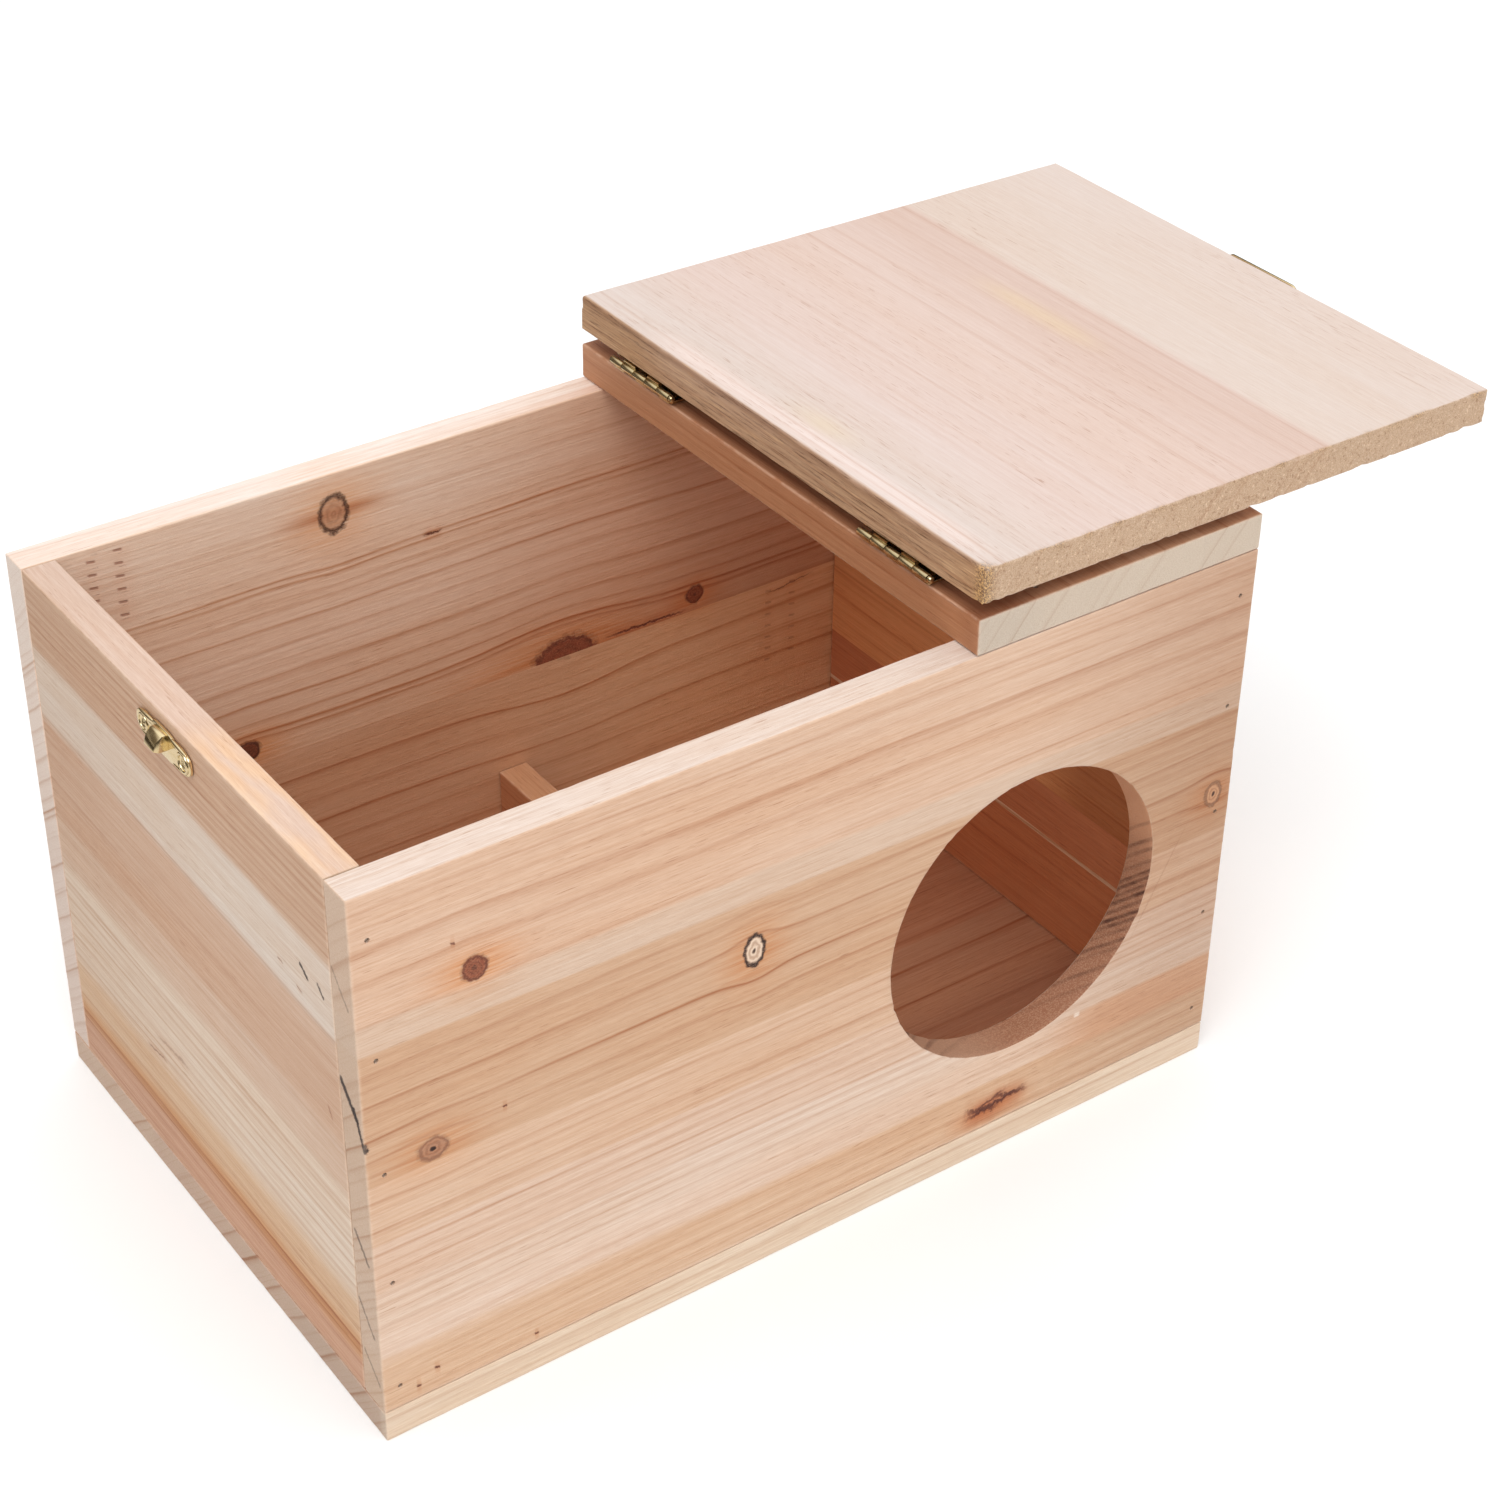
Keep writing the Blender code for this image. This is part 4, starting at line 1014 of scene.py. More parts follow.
BRAD_HOLE_DEPTH = 1.6 * MM
CUT_START = 2.0 * MM


def brad_holes(*prefixes):
    """Cutters for the crushed holes round these brads."""
    radius, end = bpy.context.scene.nest_box_sizes.brad_hole, BRAD_HOLE_DEPTH + CUT_START
    return [faces_out(turned_shape("hole", [(0, 0), (0, radius), (end, radius * 0.9), (end, 0)],
                                   head + way * CUT_START, -way, 12))
            for head, way in brad_heads(brads_of(*prefixes))]


# ------------------------------------------------------------- geometry nodes

def geometry_group(name, inputs):
    """An empty geometry tree with named inputs, and the graph that fills it."""
    tree = bpy.data.node_groups.new(name, "GeometryNodeTree")
    tree.interface.new_socket("Geometry", in_out="INPUT", socket_type="NodeSocketGeometry")
    tree.interface.new_socket("Geometry", in_out="OUTPUT", socket_type="NodeSocketGeometry")
    for label, kind in inputs:
        tree.interface.new_socket(label, in_out="INPUT", socket_type="NodeSocket" + kind)
    graph = Graph(tree)
    graph.given = tree.nodes.new("NodeGroupInput").outputs
    graph.made = tree.nodes.new("NodeGroupOutput").inputs
    return graph


def finish_tree(graph, geometry):
    """Ends a geometry tree in plain, finished mesh."""
    real = graph.add("GeometryNodeRealizeInstances", {0: geometry})
    dressed = graph.add("GeometryNodeSetMaterial", {"Geometry": real.outputs[0], "Material": graph.given["Material"]})
    graph.put(graph.made["Geometry"], dressed.outputs[0])
    return graph.tree


def fixings_tree():
    """Sets one fixing on each point, facing the way the point says, each turned a little differently."""
    graph = geometry_group("Set Fixings", [("Fixing", "Object"), ("Size", "Float"), ("Turn", "Float"),
                                           ("Seed", "Int"), ("Material", "Material")])
    facing = graph.add("GeometryNodeInputNamedAttribute", {"Name": "facing"}, data_type="FLOAT_VECTOR")
    aim = graph.add("FunctionNodeAlignRotationToVector", {"Vector": facing.outputs["Attribute"]}, axis="Z")
    shape = graph.add("GeometryNodeObjectInfo", {"Object": graph.given["Fixing"]})
    placed = graph.add("GeometryNodeInstanceOnPoints",
                       {"Points": graph.given["Geometry"], "Instance": shape.outputs["Geometry"],
                        "Rotation": aim.outputs[0], "Scale": graph.given["Size"]})
    turn = graph.add("FunctionNodeRandomValue", data_type="FLOAT")
    graph.put(turn.inputs[2], 0.0)
    graph.put(turn.inputs[3], graph.given["Turn"])
    graph.put(turn.inputs["Seed"], graph.given["Seed"])
    spin = graph.add("ShaderNodeCombineXYZ", {2: turn.outputs[1]})
    spun = graph.add("GeometryNodeRotateInstances", {"Instances": placed.outputs[0], "Rotation": spin.outputs[0]})
    return finish_tree(graph, spun.outputs[0])


def row_tree():
    """Repeats one shape in a straight row."""
    graph = geometry_group("Straight Row", [("Shape", "Object"), ("Count", "Int"), ("Start", "Vector"),
                                            ("Step", "Vector"), ("Material", "Material")])
    line = graph.add("GeometryNodeMeshLine", {"Count": graph.given["Count"], "Start Location": graph.given["Start"],
                                              "Offset": graph.given["Step"]}, mode="OFFSET")
    shape = graph.add("GeometryNodeObjectInfo", {"Object": graph.given["Shape"]})
    placed = graph.add("GeometryNodeInstanceOnPoints", {"Points": line.outputs[0],
                                                        "Instance": shape.outputs["Geometry"]})
    return finish_tree(graph, placed.outputs[0])


TREES = {"fixings": fixings_tree, "row": row_tree}


def grown(name, points, key, inputs):
    """A plain mesh made by one of the geometry trees."""
    if callable(TREES[key]):
        TREES[key] = TREES[key]()
    piece = mesh_object(name, [point for point, _ in points] or [(0, 0, 0)], [])
    if points:
        facing = piece.data.attributes.new("facing", "FLOAT_VECTOR", "POINT")
        facing.data.foreach_set("vector", [value for _, way in points for value in way])
    modifier = piece.modifiers.new(name, "NODES")
    modifier.node_group = TREES[key]
    sockets = {item.name: item.identifier for item in TREES[key].interface.items_tree if item.in_out == "INPUT"}
    for label, value in inputs.items():
        modifier[sockets[label]] = value
    return settle(piece)


# ------------------------------------------------------------------ the metal

def brass_material(name="brass_plate", seed=2.0, darkening=0.0):
    """Plated brass; darkening moves it towards its tarnish colour."""
    if name in bpy.data.materials:
        return bpy.data.materials[name]
    colours = bpy.context.scene.nest_box_colours
    material, graph = fresh_material(name, 0.24, 1.0)
    place = graph.vector("MULTIPLY", graph.coords, (1000.0, 1000.0, 1000.0))
    wear = graph.group(shared("metal"), {"Place": place, "Seed": seed})
    tint = graph.mix(graph.sum(graph.times(wear["Tarnish"], 0.75), darkening), colours.brass, colours.brass_dark)
    tint = graph.mix(graph.times(wear["Scratch"], 0.3), tint, (0.95, 0.88, 0.72, 1))
    graph.put(graph.shader.inputs["Base Color"], tint)
    graph.put(graph.shader.inputs["Roughness"], graph.rescale(wear["Dull"], 0.3, 0.7, 0.12, 0.26))
    bump(graph, graph.sum(wear["Dull"], graph.times(wear["Scratch"], -0.6)), 0.003)
    return material


def steel_material():
    colours = bpy.context.scene.nest_box_colours
    material, graph = fresh_material("brad_steel", 0.4, 0.85)
    place = graph.vector("MULTIPLY", graph.coords, (1000.0, 1000.0, 1000.0))
    wear = graph.group(shared("metal"), {"Place": place, "Seed": 6.0})
    tint = graph.mix(graph.times(wear["Tarnish"], 0.8), colours.steel, (0.22, 0.15, 0.10, 1))
    graph.put(graph.shader.inputs["Base Color"], tint)
    graph.put(graph.shader.inputs["Roughness"], graph.rescale(wear["Dull"], 0.3, 0.7, 0.3, 0.55))
    bump(graph, wear["Dull"], 0.04)
    return material


def screw_head_shape():
    """A domed head of unit radius with a cross recess, and a short stub under it."""
    sides, rings = 48, 14
    points, faces = [(0, 0, -0.15)], []
    def height(x, y, reach):
        dome = 0.34 * math.sqrt(max(0.0, 1.0 - (reach * 0.96) ** 2))
        arm = min(abs(x), abs(y)) < 0.13 and reach < 0.62
        return dome - (0.34 if arm else 0.0)
    for ring in range(1, rings + 1):
        reach = ring / rings
        for side in range(sides):
            angle = 2 * math.pi * side / sides
            x, y = reach * math.cos(angle), reach * math.sin(angle)
            points.append((x, y, height(x, y, reach)))
    for reach, drop in ((1.0, -0.12), (0.55, -0.5), (0.5, -1.6)):
        for side in range(sides):
            angle = 2 * math.pi * side / sides
            points.append((reach * math.cos(angle), reach * math.sin(angle), drop))
    total = rings + 3
    for side in range(sides):
        after = (side + 1) % sides
        faces.append((0, 1 + side, 1 + after))
        for ring in range(total - 1):
            first, second = 1 + ring * sides, 1 + (ring + 1) * sides
            faces.append((first + side, second + side, second + after, first + after))
    points.append((0, 0, -1.6))
    last = 1 + (total - 1) * sides
    for side in range(sides):
        faces.append((last + (side + 1) % sides, last + side, len(points) - 1))
    shape = mesh_object("screw_shape", points, faces)
    shape.data.polygons.foreach_set("use_smooth", [True] * len(shape.data.polygons))
    return shape


SCREW_SINK = 0.62 * MM


def screw_spots(nodes):
    """Where each screw's head sits and which way it faces."""
    spots = []
    for node in nodes:
        low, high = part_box(node)
        head = (low + high) / 2
        if node.startswith("catch"):
            way, head.x = Vector((-1, 0, 0)), low.x
        elif node.startswith("hasp"):
            way, head.x = Vector((1, 0, 0)), high.x
        elif "fixed" in node:
            way, head.z = Vector((0, 0, 1)), high.z
        else:
            way, head.z = Vector((0, 0, -1)), low.z
        spots.append((head - way * SCREW_SINK, way))
    return spots


def softened(piece, width_mm):
    """Rounds a metal piece's edges."""
    modifier = piece.modifiers.new("soften", "BEVEL")
    modifier.width, modifier.segments = width_mm * MM, 2
    modifier.limit_method, modifier.angle_limit = "ANGLE", math.radians(28)
    modifier.harden_normals = False
    return settle(piece)


def plate_outline(half_length, half_width, corner, steps=6):
    """A rounded rectangle as points in the plate's own plane."""
    points = []
    for sign_u, sign_v, start in ((1, 1, 0), (-1, 1, 90), (-1, -1, 180), (1, -1, 270)):
        for step in range(steps + 1):
            angle = math.radians(start + 90 * step / steps)
            points.append((sign_u * (half_length - corner) + corner * math.cos(angle),
                           sign_v * (half_width - corner) + corner * math.sin(angle)))
    return points


def flat_plate(name, outline, frame_at, thickness):
    """A plate of the outline, with softened rims; frame_at turns (u, v, w) into a point."""
    count = len(outline)
    layers = [(0.0, 0.0), (0.10 * MM, 0.0), (thickness - 0.22 * MM, 0.0),
              (thickness - 0.07 * MM, 0.10 * MM), (thickness, 0.28 * MM)]
    points, faces = [], []
    for lift, inset in layers:
        for u, v in outline:
            reach = math.hypot(u, v) or 1.0
            points.append(frame_at(u - inset * u / reach, v - inset * v / reach, lift))
    for layer in range(len(layers) - 1):
        for i in range(count):
            after = (i + 1) % count
            a, b = layer * count, (layer + 1) * count
            faces.append((a + i, a + after, b + after, b + i))
    points += [frame_at(0, 0, 0), frame_at(0, 0, thickness)]
    low, top = len(points) - 2, len(points) - 1
    last = (len(layers) - 1) * count
    for i in range(count):
        after = (i + 1) % count
        faces += [(low, after, i), (top, last + i, last + after)]
    return faces_out(mesh_object(name, points, faces))


def barrel_shape(radius, length, side, sides=30):
    """One hinge knuckle lying along y, with broken ends and the neck that joins its leaf."""
    chamfer = 0.12 * MM
    profile = [(0, 0), (0, radius - chamfer), (chamfer * 0.3, radius - chamfer * 0.3), (chamfer, radius),
               (length - chamfer, radius), (length - chamfer * 0.3, radius - chamfer * 0.3),
               (length, radius - chamfer), (length, 0)]
    barrel = faces_out(turned_shape("barrel", profile, (0, -length / 2, 0), (0, 1, 0), sides))
    points, faces = lattice_box([np.array([0.1 * MM, radius]), np.array([-0.5, 0.5]) * length,
                                 np.sort(np.array([1.62, 0.6]) * MM * side)])
    return joined("knuckle", [barrel, mesh_object("neck", points, faces)])


# ------------------------------------------------------------------ operators

HOLE_X, HOLE_Z = 70.6 * MM, 88.0 * MM


def entrance():
    """The cutter of the entrance hole, with torn fibres at both rims, and its centre."""
    sizes = bpy.context.scene.nest_box_sizes
    hole, flare, reach = sizes.hole_radius, sizes.hole_flare, CUT_START
    low, high = (np.array(corner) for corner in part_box("front_wall"))
    depth = high[1] - low[1]

    def ripple(angle, along):
        wobble = 0.10 * noise.noise(Vector((math.cos(angle) * 9, math.sin(angle) * 9, along * 400)))
        torn = max(0.0, noise.noise(Vector((math.cos(angle) * 22, math.sin(angle) * 22, 4.0))) - 0.25)
        at_rim = along < 3.2 * MM or along > depth + 0.8 * MM
        return (wobble + (1.1 * torn if at_rim else 0.0)) * MM

    profile = [(0, 0), (0, hole + flare + reach), (reach, hole + flare),
               (reach + 0.35 * flare, hole + 0.25 * flare), (reach + flare, hole)]
    profile += [(reach + depth * part, hole) for part in (0.2, 0.35, 0.5, 0.65, 0.8)]
    profile += [(reach + depth - flare, hole), (reach + depth, hole + flare * 0.8),
                (2 * reach + depth, hole + flare + reach), (2 * reach + depth, 0)]
    centre = Vector((HOLE_X, low[1] - reach, HOLE_Z))
    return faces_out(turned_shape("entrance", profile, centre, (0, 1, 0), 176, ripple)), centre


def finger_tips():
    """Cutters for the little gaps at the finger tips of the back wall's joints."""
    groups = []
    for x, z in ((-129, 162.2), (-120.5, 160.2)):
        points, faces = lattice_box([np.array([-1.1, 0.3, 1.1]) * MM, np.array([-0.2, 0.2]) * MM,
                                     np.array([-0.14, 0.0, 0.14]) * MM])
        points[:, 2] *= np.where(np.abs(points[:, 0]) > 1.0 * MM, 0.3, 1.0)
        sliver = mesh_object("sliver", points, faces)
        groups.append(grown("finger_row", [], "row", {
            "Shape": sliver, "Count": bpy.context.scene.nest_box_sizes.finger_count,
            "Start": Vector((x, 89.0, z)) * MM, "Step": Vector((0.25, 0, 4.4)) * MM}))
        bpy.data.objects.remove(sliver)
    return joined("finger_tips", groups)


class NESTBOX_OT_walls(bpy.types.Operator):
    """Builds the four walls, with the entrance hole and the brad holes."""

    bl_idname = "nestbox.walls"
    bl_label = "Walls"

    def execute(self, context):
        hole, centre = entrance()
        front = wood_piece("front_wall", 1, 1.2, FRONT_LOOK, "front_pine",
                           [hole] + brad_holes("front_left", "front_right"))
        note_bore(front, centre, context.scene.nest_box_sizes.hole_radius)
        wood_piece("back_wall", 5, 1.2, BACK_LOOK, "back_pine",
                   brad_holes("back_left", "back_right") + [finger_tips()])
        wood_piece("left_end_wall", 9, 1.0, LEFT_LOOK, "left_end_pine")
        wood_piece("right_end_wall", 13, 1.0, RIGHT_LOOK, "right_end_pine")
        return {"FINISHED"}


class NESTBOX_OT_floor(bpy.types.Operator):
    """Builds the floor board and the low partition."""

    bl_idname = "nestbox.floor"
    bl_label = "Floor and partition"

    def execute(self, context):
        wood_piece("floor_board", 17, 1.0, FLOOR_LOOK, "floor_pine", brad_holes("floor", "partition"))
        wood_piece("partition", 19, 1.0, PARTITION_LOOK, "partition_pine")
        return {"FINISHED"}


class NESTBOX_OT_roof(bpy.types.Operator):
    """Builds the fixed roof board, with its brad holes."""

    bl_idname = "nestbox.roof"
    bl_label = "Fixed roof board"

    def execute(self, context):
        wood_piece("fixed_roof_board", 23, 1.6, ROOF_LOOK, "roof_pine", brad_holes("roof"))
        return {"FINISHED"}


LID_PIVOT = Vector((45.5, 0.0, 201.05)) * MM
LID_LOW, LID_HIGH = Vector((45.95, -100.55, 203.6)) * MM, Vector((238.35, 100.0, 214.75)) * MM


class NESTBOX_OT_lid(bpy.types.Operator):
    """Builds the lid, with torn fibres along its front arris and a ragged hinge edge."""

    bl_idname = "nestbox.lid"
    bl_label = "Lid"

    def execute(self, context):
        low, high = np.array(LID_LOW), np.array(LID_HIGH)
        points, faces = lattice_box([grid_line(low[axis], high[axis], cell * MM, NEAR_EDGE)
                                     for axis, cell in enumerate((1.6, 2.0, 1.6))])
        edge = insets(points, low, high)[:, 1] < EDGE_REACH
        radius = np.full(len(points), 0.4 * MM)
        ends = edge & (points[:, 1] < low[1] + EDGE_REACH)
        hinge = edge & (points[:, 0] < low[0] + EDGE_REACH) & (points[:, 2] > high[2] - EDGE_REACH)
        radius[edge] += 0.2 * MM * rough(points[edge], 9, 31)
        radius[ends] += np.clip(rough(points[ends], 2.6, 32) - 0.1, 0, 1) * 2.2 * MM
        radius[hinge] += np.clip(rough(points[hinge] * np.array([1, 0.35, 1]), 3.0, 33) + 0.15, 0, 1) * 1.6 * MM
        corner = np.clip(1 - np.hypot(points[:, 0] - low[0], points[:, 1] - low[1]) / (5.0 * MM), 0, 1)
        shaped = rounded(points, low, high, np.clip(radius, SHARPEST, 2.5 * MM))
        wavy = np.clip(1 - (shaped[:, 0] - low[0]) / (3.0 * MM), 0, 1)
        wavy *= np.clip((shaped[:, 2] - low[2]) / (high[2] - low[2]), 0, 1)
        shaped[:, 0] += wavy * 0.5 * MM * (1 + np.sin(shaped[:, 1] / (27 * MM) + 0.6)) / 2
        rag = np.abs(rough(shaped, 1.1, 35))
        shaped[:, 0] += corner * rag * 1.3 * MM
        shaped[:, 1] += corner * rag * 1.1 * MM
        face = points[:, 1] < low[1] + 0.05 * MM
        shaped[face, 1] += np.clip(rough(shaped[face], 1.4, 36) - 0.15, 0, 1) * 0.7 * MM
        piece = mesh_object("wood_lid", shaped, faces)
        note_surface(piece, "y", low, high)
        top_front = np.clip(1 - (points[:, 1] - low[1]) / (1.2 * MM), 0, 1)
        top_front *= np.clip(1 - (high[2] - points[:, 2]) / (3.0 * MM), 0, 1)
        torn = top_front * np.clip(rough(points, 5.0, 38) * 2.0, 0, 1) * 0.8
        store(piece.data, "torn", "POINT", np.maximum(np.clip(corner * 1.6, 0, 1), torn))
        turn_about(piece, LID_PIVOT, context.scene.nest_box_sizes.lid_tilt)
        smooth(piece)
        finished(piece, wood_material("lid_pine", LID_LOOK), "lid", ["lid"])
        return {"FINISHED"}


HINGE_PITCH = 6.4 * MM
LEAF_HALF_SIZE = (5.2 * MM, 15.9 * MM)
LEAF_RISE = 2.2 * MM
LEAF_SCREW_X, LEAF_SCREW_Y = 6.8 * MM, 9.5 * MM


def countersink(start, way, mouth, shoulder, deep):
    """A cutter for a screw hole with a sloping mouth; sizes are in millimetres."""
    profile = [(0, 0), (0, mouth), (0.75, shoulder), (deep, 1.2), (2.6, 1.2), (2.6, 0)]
    return faces_out(turned_shape("sink", [(along * MM, radius * MM) for along, radius in profile], start, way, 28))


class NESTBOX_OT_hinges(bpy.types.Operator):
    """Builds both brass butt hinges: leaves, knuckles and pins."""

    bl_idname = "nestbox.hinges"
    bl_label = "Hinges"

    def execute(self, context):
        sizes = context.scene.nest_box_sizes
        # The hinge brass is laid darker than plain brass.
        brass = brass_material("hinge_brass", 5.0, 0.38)
        barrels = {side: barrel_shape(sizes.knuckle - 0.01 * MM, HINGE_PITCH - sizes.knuckle_gap, way)
                   for side, way in (("fixed", -1), ("lid", 1))}
        for label in ("front", "back"):
            low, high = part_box(f"{label}_hinge_fixed_leaf")
            centre_y = (low.y + high.y) / 2
            for side, body, sign, places in (("fixed", "box", -1, (-2, 0, 2)), ("lid", "lid", 1, (-1, 1))):
                knuckles = grown(f"{label}_{side}_knuckles", [], "row", {
                    "Shape": barrels[side], "Count": len(places),
                    "Start": Vector((LID_PIVOT.x, centre_y + places[0] * HINGE_PITCH, LID_PIVOT.z)),
                    "Step": Vector((0, 2 * HINGE_PITCH, 0)), "Material": brass})
                face = LID_PIVOT.z + sign * LEAF_RISE
                middle_x = LID_PIVOT.x + LEAF_HALF_SIZE[0]

                def leaf_place(u, v, w, face=face, sign=sign, middle_x=middle_x, centre_y=centre_y):
                    return Vector((middle_x + u, centre_y + v, face - sign * (0.03 * MM + w)))

                leaf = flat_plate("leaf", plate_outline(*LEAF_HALF_SIZE, 1.2 * MM), leaf_place, 0.77 * MM)
                for way in (-1, 1):
                    start = Vector((LID_PIVOT.x + LEAF_SCREW_X, centre_y + way * LEAF_SCREW_Y, face - sign * 1.6 * MM))
                    carve(leaf, countersink(start, (0, 0, sign), 2.4, 2.3, 1.4))
                for place in range(-2, 3):
                    if place not in places:
                        points, faces = lattice_box([
                            np.array([-4.0, 1.65]) * MM + LID_PIVOT.x,
                            np.array([-0.5, 0.5]) * (HINGE_PITCH + 0.3 * MM) + centre_y + place * HINGE_PITCH,
                            np.array([-1.5, 1.5]) * MM + face])
                        carve(leaf, mesh_object("notch", points, faces))
                piece = joined(f"{label}_hinge_{side}", [leaf, knuckles])
                if side == "lid":
                    turn_about(piece, LID_PIVOT, sizes.lid_tilt)
                finished(smooth(piece, 24), brass, body, [f"{label}_hinge_{side}_leaf"])
            low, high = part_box(f"{label}_hinge_pin")
            length, head, rod = high.y - low.y, 1.08 * MM, 0.48 * MM
            pin = faces_out(turned_shape(f"{label}_hinge_rod", [
                (0, 0), (0.02 * MM, head * 0.45), (0.18 * MM, head * 0.8), (0.55 * MM, head), (1.3 * MM, head),
                (1.35 * MM, rod), (length - 0.25 * MM, rod), (length, 0.3 * MM), (length, 0)],
                Vector((LID_PIVOT.x, low.y, LID_PIVOT.z)), (0, 1, 0), 24))
            finished(smooth(pin, 30), brass, "box", [f"{label}_hinge_pin"])
        for barrel in barrels.values():
            bpy.data.objects.remove(barrel)
        return {"FINISHED"}


CATCH_SCREW, CATCH_ROOT = 11.8 * MM, 183.2 * MM


class NESTBOX_OT_catch(bpy.types.Operator):
    """Builds the catch: a ribbed plate with a hooded hook."""

    bl_idname = "nestbox.catch"
    bl_label = "Catch"

    def execute(self, context):
        low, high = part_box("catch_plate")
        middle_y, middle_z = (low.y + high.y) / 2, (low.z + high.z) / 2
        face = high.x

        def place(u, v, w):
            return Vector((face - w, middle_y + u, middle_z + v))

        plate = flat_plate("plate", catch_outline(), place, 0.8 * MM)
        for side in (-1, 1):
            carve(plate, countersink(place(side * CATCH_SCREW, 0, 1.6 * MM), (1, 0, 0), 2.3, 1.9, 1.0))
        parts = [plate]
        for side, radius, rim in ((1, 2.45, 0.40), (-1, 2.75, 0.62)):
            parts.append(ring_shape(place(side * CATCH_SCREW, 0, 0.78 * MM), radius * MM, rim * MM))
        for v, radius, near, far in ((3.75, 0.68, 4.4, 14.2), (-3.75, 0.5, 4.6, 14.0), (2.5, 0.3, 4.2, 9.0)):
            for side in (-1, 1):
                parts.append(rib_shape(place(side * near * MM, v * MM, 0.55 * MM),
                                       place(side * far * MM, v * 0.86 * MM, 0.6 * MM), radius * MM))
        outer = low.x + 0.07 * MM
        corners = [(0.0, 0.0), (0.0, 5.0), (3.6, 5.0), (5.2, 4.3), (4.3, 1.8), (2.4, 0.0)]
        points = [(max(outer, face - w * MM - 0.6 * MM * (w < 1)), middle_y + side * (3.45 - 0.5 * (w > 4)) * MM,
                   CATCH_ROOT - drop * MM) for side in (-1, 1) for w, drop in corners]
        count = len(corners)
        faces = [(i, (i + 1) % count, count + (i + 1) % count, count + i) for i in range(count)]
        faces += [tuple(range(count))[::-1], tuple(range(count, 2 * count))]
        hood = softened(faces_out(mesh_object("hood", points, faces)), 0.45)
        piece = joined("catch", parts + [hood])
        finished(smooth(piece, 26), brass_material("catch_brass", 2.0, -0.3), "box", ["catch_plate"])
        return {"FINISHED"}


def catch_outline():
    """The catch plate's outline: two round ears that waist in towards the hook."""
    points = []
    count = 72
    for step in range(count):
        angle = 2 * math.pi * step / count
        u = math.copysign(abs(math.cos(angle)) ** 0.85, math.cos(angle)) * 15.9
        lobe = 4.7 - 1.0 * math.exp(-((abs(u) - 7.3) / 1.9) ** 2)
        v = math.copysign(abs(math.sin(angle)) ** 0.6, math.sin(angle)) * lobe
        points.append((u * MM, v * MM))
    return points


def ring_shape(centre, radius, thickness):
    """A raised rim that lies flat against the left wall."""
    points, faces = [], []
    sides, steps = 36, 10
    for side in range(sides):
        angle = 2 * math.pi * side / sides
        for step in range(steps):
            turn = 2 * math.pi * step / steps
            reach = radius + thickness * math.cos(turn)
            points.append(centre + Vector((-0.8 * thickness * math.sin(turn), reach * math.cos(angle),
                                           reach * math.sin(angle))))
    for side in range(sides):
        for step in range(steps):
            a, b = side * steps, (side + 1) % sides * steps
            after = (step + 1) % steps
            faces.append((a + step, b + step, b + after, a + after))
    return faces_out(mesh_object("rim", points, faces))


def rib_shape(start, end, radius):
    """A long round rib with tapered ends."""
    way = end - start
    length = way.length
    profile = [(0, 0)] + [(length * t, radius * math.sin(math.pi * t) ** 0.4) for t in
                          (0.04, 0.1, 0.2, 0.35, 0.5, 0.65, 0.8, 0.9, 0.96)] + [(length, 0)]
    return faces_out(turned_shape("rib", profile, start, way, 16))


def refined_copy(name, node, width_mm):
    """A merged copy of a CAD node with softened edges."""
    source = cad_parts[node]
    piece = bpy.data.objects.new(name, source.data.copy())
    bpy.context.scene.collection.objects.link(piece)
    shape = bmesh.new()
    shape.from_mesh(piece.data)
    bmesh.ops.remove_doubles(shape, verts=shape.verts, dist=0.01 * MM)
    bmesh.ops.dissolve_limit(shape, angle_limit=math.radians(1.0), verts=shape.verts, edges=shape.edges)
    shape.to_mesh(piece.data)
    shape.free()
    return softened(piece, width_mm)


class NESTBOX_OT_hasp(bpy.types.Operator):
    """Builds the hasp on the lid's free edge: plate, slotted tongue and pin."""

    bl_idname = "nestbox.hasp"
    bl_label = "Hasp"

    def execute(self, context):
        brass = brass_material()
        for name, node, body, width in (("hasp_base", "hasp_plate", "lid", 0.12),
                                        ("slotted_tongue", "hasp_tongue", "tongue", 0.12),
                                        ("hasp_rod", "hasp_pin", "lid", 0.08)):
            piece = refined_copy(name, node, width)
            finished(smooth(piece, 30), brass, body, [node])
        return {"FINISHED"}


class NESTBOX_OT_screws(bpy.types.Operator):
    """Sets the brass screws of the hinges and the latch."""

    bl_idname = "nestbox.screws"
    bl_label = "Screws"

    def execute(self, context):
        sizes = context.scene.nest_box_sizes
        shape = screw_head_shape()
        nodes = [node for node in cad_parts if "_screw_" in node]
        fixed = [node for node in nodes if "fixed" in node or node.startswith("catch")]
        for body, chosen, seed in (("box", fixed, 4), ("lid", [n for n in nodes if n not in fixed], 8)):
            piece = grown(f"{body}_screws", screw_spots(chosen), "fixings", {
                "Fixing": shape, "Size": sizes.screw_head, "Turn": 1.5, "Seed": seed, "Material": brass_material()})
            finished(piece, brass_material(), body, chosen)
        bpy.data.objects.remove(shape)
        return {"FINISHED"}


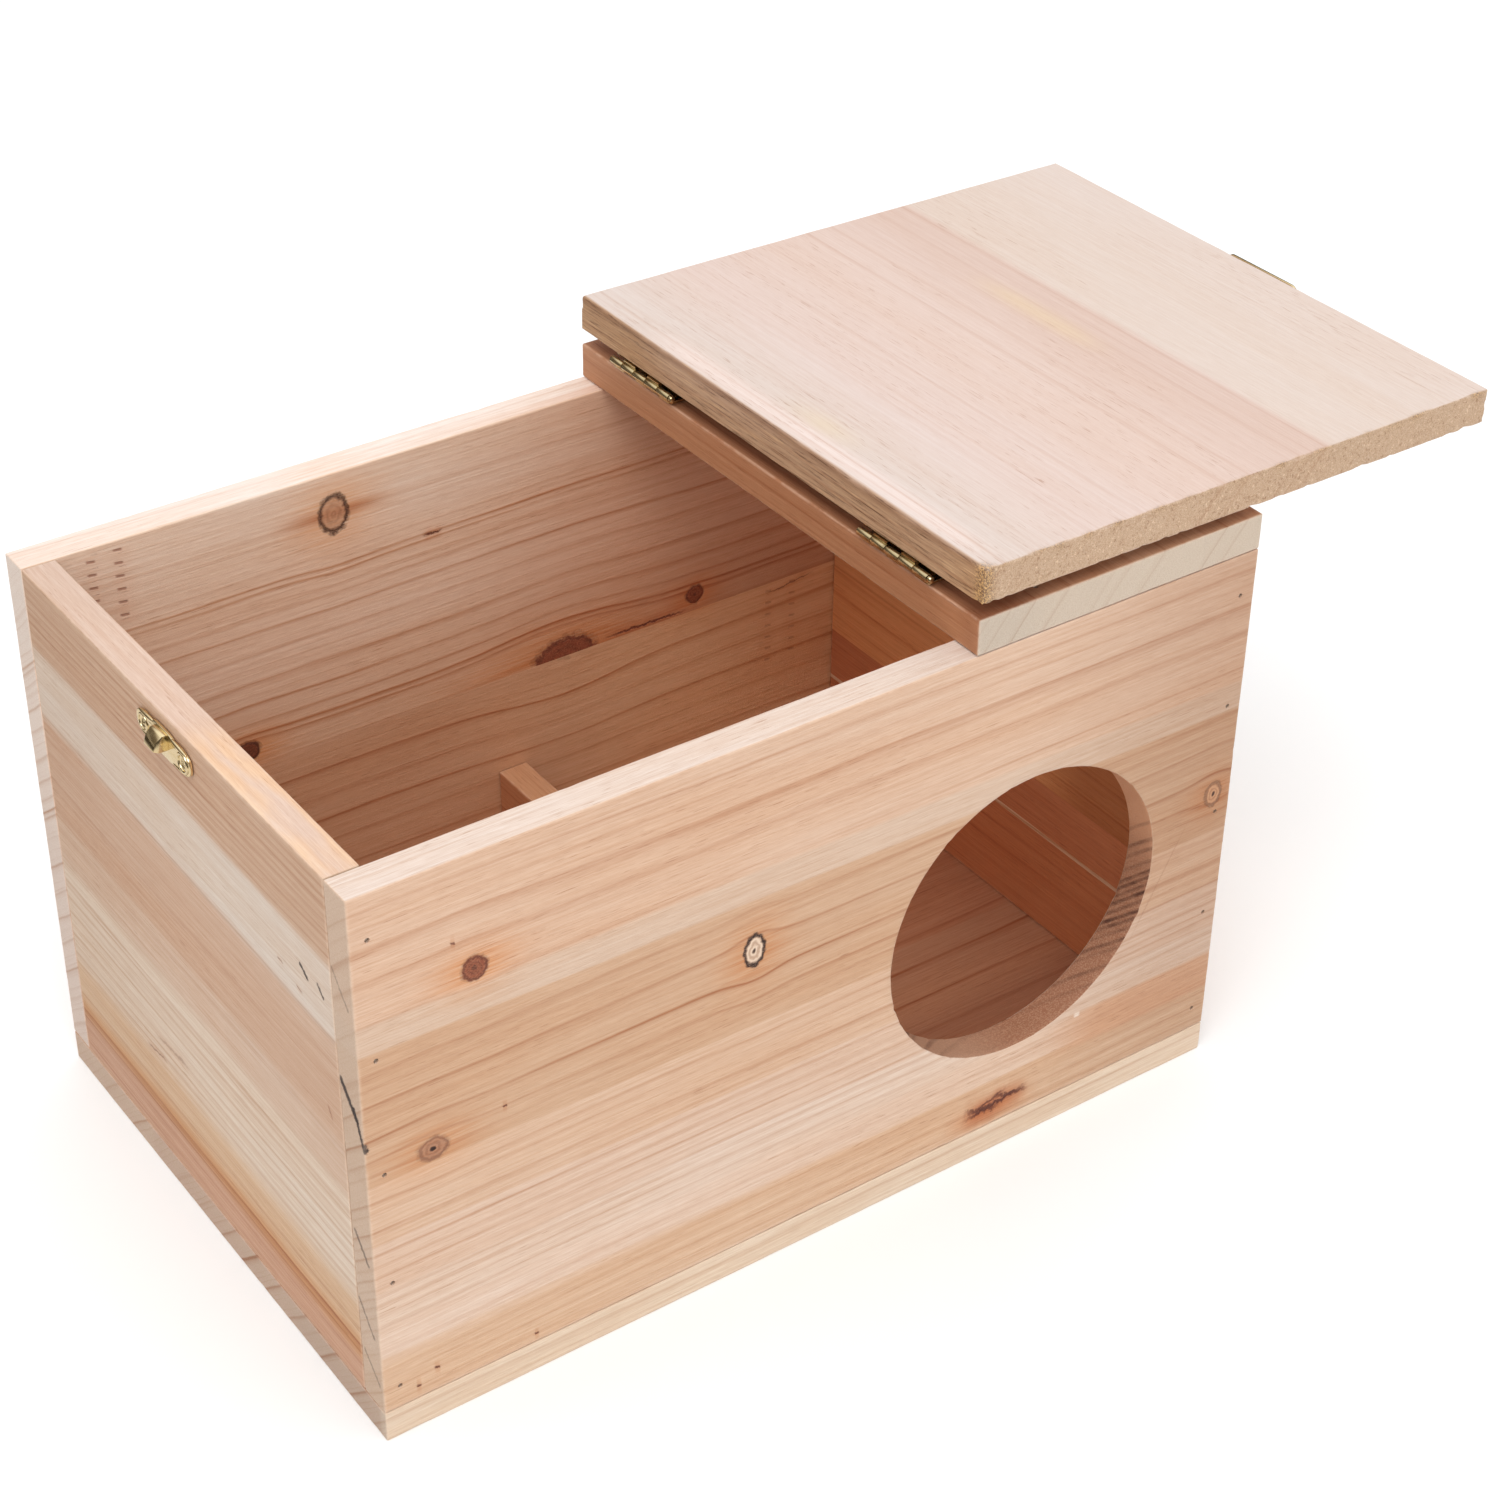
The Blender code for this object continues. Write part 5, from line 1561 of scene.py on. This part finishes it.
class NESTBOX_OT_brads(bpy.types.Operator):
    """Sets the brads, their heads just under the wood's surface."""

    bl_idname = "nestbox.brads"
    bl_label = "Brads"

    def execute(self, context):
        shape = faces_out(turned_shape("brad_shape", [
            (0, 0), (0.04, 0.6), (0.16, 0.92), (0.34, 1.0), (0.9, 0.9), (1.3, 0.78), (3.5, 0.7), (3.5, 0)],
            (0, 0, 0), (0, 0, -1), 14))
        smooth(shape, 40)
        nodes, steel = brads_of(""), steel_material()
        piece = grown("brads", brad_heads(nodes), "fixings", {
            "Fixing": shape, "Size": context.scene.nest_box_sizes.brad_head, "Turn": 6.2, "Seed": 3, "Material": steel})
        bpy.data.objects.remove(shape)
        finished(piece, steel, "box", nodes)
        return {"FINISHED"}


def area_light(name, place, target, size_m, power, tint=(1, 1, 1)):
    """A soft square light that faces the target."""
    data = bpy.data.lights.new(name, "AREA")
    data.shape, data.size, data.energy, data.color = "SQUARE", size_m, power, tint
    lamp = bpy.data.objects.new(name, data)
    bpy.context.scene.collection.objects.link(lamp)
    lamp.location = place
    lamp.rotation_euler = (Vector(target) - Vector(place)).to_track_quat("-Z", "Y").to_euler()
    return lamp


class NESTBOX_OT_stage(bpy.types.Operator):
    """Builds the floor, the soft light and the camera."""

    bl_idname = "nestbox.stage"
    bl_label = "Stage"

    def execute(self, context):
        scene = context.scene
        colours = scene.nest_box_colours
        scene.view_settings.view_transform = "Standard"
        world = bpy.data.worlds.new("soft_white")
        world.use_nodes = True
        graph = Graph(world.node_tree)
        heading = graph.split(graph.add("ShaderNodeTexCoord").outputs["Generated"])["Z"]
        room = graph.ramp(graph.rescale(heading, -1.0, 1.0), [
            (0.0, (0.4, 0.36, 0.32, 1)), (0.17, (0.85, 0.8, 0.75, 1)), (0.27, (0.8, 0.74, 0.68, 1)),
            (0.35, (0.06, 0.05, 0.04, 1)), (0.48, (0.04, 0.03, 0.02, 1)), (0.51, (0.50, 0.45, 0.40, 1)),
            (0.55, (0.10, 0.08, 0.06, 1)), (0.70, (0.16, 0.13, 0.10, 1)), (0.76, (0.60, 0.55, 0.50, 1)),
            (0.84, (1.0, 1.0, 1.0, 1)), (1.0, (1.1, 1.1, 1.1, 1))])
        glossy = graph.add("ShaderNodeLightPath").outputs["Is Glossy Ray"]
        backdrop = world.node_tree.nodes["Background"]
        graph.put(backdrop.inputs["Color"], graph.mix(glossy, (1, 1, 1, 1), room))
        graph.put(backdrop.inputs["Strength"], 1.0)
        scene.world = world

        floor = mesh_object("studio_floor", [(-30, -30, 0), (30, -30, 0), (30, 30, 0), (-30, 30, 0)], [(0, 1, 2, 3)])
        material, graph = fresh_material("studio_floor", 0.9)
        soft = graph.noise(graph.coords, (40.0, 40.0, 40.0), 1.0, 3.0)
        graph.put(graph.shader.inputs["Base Color"],
                  graph.mix(graph.rescale(soft, 0.3, 0.7, 0.0, 0.02), colours.floor, (0.9, 0.9, 0.9, 1)))
        graph.put(graph.shader.inputs["Specular IOR Level"], 0.0)
        floor.data.materials.append(material)
        floor.visible_glossy = False

        area_light("soft_key", (-0.8, -1.0, 2.3), (0, 0, 0.1), 1.4, 20)

        data = bpy.data.cameras.new("camera")
        data.lens, data.clip_start, data.clip_end = 73.24, 0.01, 50.0
        camera = bpy.data.objects.new("camera", data)
        scene.collection.objects.link(camera)
        right = Vector((0.8182133, -0.5748174, 0.0105858))
        down = Vector((-0.3166349, -0.465924, -0.8262307))
        forward = Vector((0.479864, 0.6726811, -0.5632324))
        turn = Matrix((right, -down, -forward)).transposed()
        camera.matrix_world = Matrix.Translation((-0.413105, -0.635532, 0.634232)) @ turn.to_4x4()
        scene.camera = camera
        return {"FINISHED"}


class NESTBOX_PT_panel(bpy.types.Panel):
    """Lists the sizes, the colours and the pieces of the nesting box."""

    bl_idname = "NESTBOX_PT_panel"
    bl_label = "Nesting Box"
    bl_space_type = "VIEW_3D"
    bl_region_type = "UI"
    bl_category = "Nesting Box"

    def draw(self, context):
        for operator in STEPS:
            self.layout.operator(operator.bl_idname)
        for group in (context.scene.nest_box_sizes, context.scene.nest_box_colours):
            column = self.layout.column()
            for key in group.__annotations__:
                column.prop(group, key)


STEPS = (NESTBOX_OT_stage, NESTBOX_OT_walls, NESTBOX_OT_floor, NESTBOX_OT_roof, NESTBOX_OT_lid,
         NESTBOX_OT_hinges, NESTBOX_OT_catch, NESTBOX_OT_hasp, NESTBOX_OT_screws, NESTBOX_OT_brads)
CLASSES = (NestBoxSizes, NestBoxColours, *STEPS, NESTBOX_PT_panel)


def register():
    for item in CLASSES:
        bpy.utils.register_class(item)
    bpy.types.Scene.nest_box_sizes = PointerProperty(type=NestBoxSizes)
    bpy.types.Scene.nest_box_colours = PointerProperty(type=NestBoxColours)


def unregister():
    del bpy.types.Scene.nest_box_colours
    del bpy.types.Scene.nest_box_sizes
    for item in reversed(CLASSES):
        bpy.utils.unregister_class(item)


def main():
    """Registers the add-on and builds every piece."""
    register()
    for step in STEPS:
        space, name = step.bl_idname.split(".")
        getattr(getattr(bpy.ops, space), name)()


if __name__ == "__main__":
    main()
